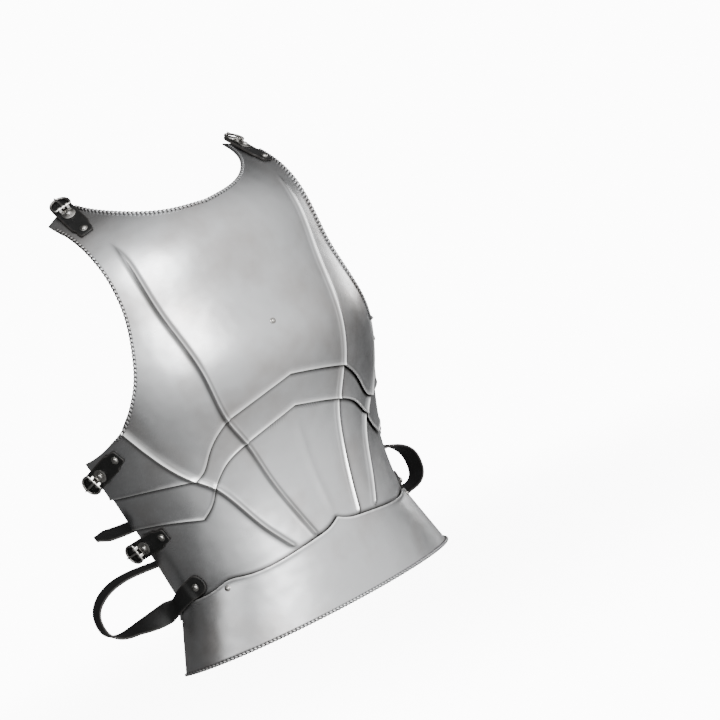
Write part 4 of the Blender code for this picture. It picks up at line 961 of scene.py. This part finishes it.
# The floor and the light: a matt white floor that fades into a white room. The room is brightest before
# the breastplate and dark behind it. One large soft box stands in front, a weak one at the wearer's
# right, and a small strip lights the far edge.
floor_radius, fade_start, fade_end = 4.0, 0.15, 0.9
floor_mesh = bmesh.new()
bmesh.ops.create_circle(floor_mesh, cap_ends=True, radius=floor_radius, segments=96)
floor_paint, floor_tree, floor_shader = new_material("matt_white_studio_paint")
floor_shader.inputs["Base Color"].default_value = linear("#F4F4F3")
floor_shader.inputs["Roughness"].default_value = 0.85
floor_place = add_node(floor_tree, "TexCoord")
floor_reach = add_node(floor_tree, "VectorMath", {
    0: floor_place.outputs["Object"]}, operation="LENGTH")
floor_fade = add_node(floor_tree, "MapRange", {
    "Value": floor_reach.outputs["Value"], "From Min": fade_start, "From Max": fade_end,
    "To Min": 0.82, "To Max": 1.0}, interpolation_type="SMOOTHSTEP")
clear = add_node(floor_tree, "BsdfTransparent")
add_node(floor_tree, "MixShader", {
    0: floor_fade.outputs["Result"], 1: floor_shader.outputs[0], 2: clear.outputs[0]},
    {0: floor_tree.nodes["Material Output"].inputs["Surface"]})
finished("studio_floor", floor_mesh, floor_paint)

room = bpy.data.worlds.new("pale_room")
bpy.context.scene.world = room
room.use_nodes = True
room_tree = room.node_tree
room_light = room_tree.nodes["Background"]
room_light.inputs["Color"].default_value = (1.0, 1.0, 1.0, 1.0)
room_way = add_node(room_tree, "TexCoord")
toward = add_node(room_tree, "VectorMath", {
    0: room_way.outputs["Generated"], 1: (0.18, -0.92, 0.17)}, operation="DOT_PRODUCT")
room_grey = add_node(room_tree, "MapRange", {
    "Value": toward.outputs["Value"], "From Min": 0.02, "From Max": 0.93, "To Min": 0.13, "To Max": 1.95},
    interpolation_type="SMOOTHSTEP")
seen = add_node(room_tree, "LightPath")
backdrop_level = 12.0
add_node(room_tree, "Mix", {
    0: seen.outputs["Is Camera Ray"], 2: room_grey.outputs["Result"], 3: backdrop_level},
    {0: room_light.inputs["Strength"]})


def soft_light(name, place, aim, size, power):
    lamp = bpy.data.lights.new(name, "AREA")
    lamp.shape = "DISK"
    lamp.size = size
    lamp.energy = power
    thing = bpy.data.objects.new(name, lamp)
    thing.matrix_world = (Matrix.Translation(place)
                          @ (Vector(place) - Vector(aim)).to_track_quat("Z", "Y").to_matrix().to_4x4())
    bpy.context.scene.collection.objects.link(thing)


soft_light("front_softbox", (-0.7, -2.8, 1.05), (0.0, 0.0, 0.25), 1.5, 95.0)
soft_light("left_softbox", (-2.6, -1.1, 1.3), (0.0, 0.0, 0.35), 1.4, 16.0)
soft_light("right_back_strip", (2.4, 0.6, 0.5), (0.0, 0.0, 0.25), 0.7, 12.0)


# The view: the breastplate's right front from chest height, the camera rolled as the plate lies aslant
# in the picture.
look_at = Vector((0.0, 0.0196, 0.225))
azimuth, elevation, roll = math.radians(32.37), math.radians(1.59), math.radians(-24.6)
distance = 2.301
back = Vector((-math.sin(azimuth) * math.cos(elevation), -math.cos(azimuth) * math.cos(elevation),
               math.sin(elevation)))
level_right = Vector((math.cos(azimuth), -math.sin(azimuth), 0.0))
level_up = back.cross(level_right)
view_right = math.cos(roll) * level_right + math.sin(roll) * level_up
view_up = -math.sin(roll) * level_right + math.cos(roll) * level_up
camera_data = bpy.data.cameras.new("view")
camera_data.lens = 109.1
camera_data.sensor_width = 36.0
camera_data.shift_x = 0.1185
camera_data.shift_y = 0.0568
camera = bpy.data.objects.new("view", camera_data)
camera.matrix_world = (Matrix.Translation(look_at + back * distance)
                       @ Matrix((view_right, view_up, back)).transposed().to_4x4())
bpy.context.scene.collection.objects.link(camera)
bpy.context.scene.camera = camera
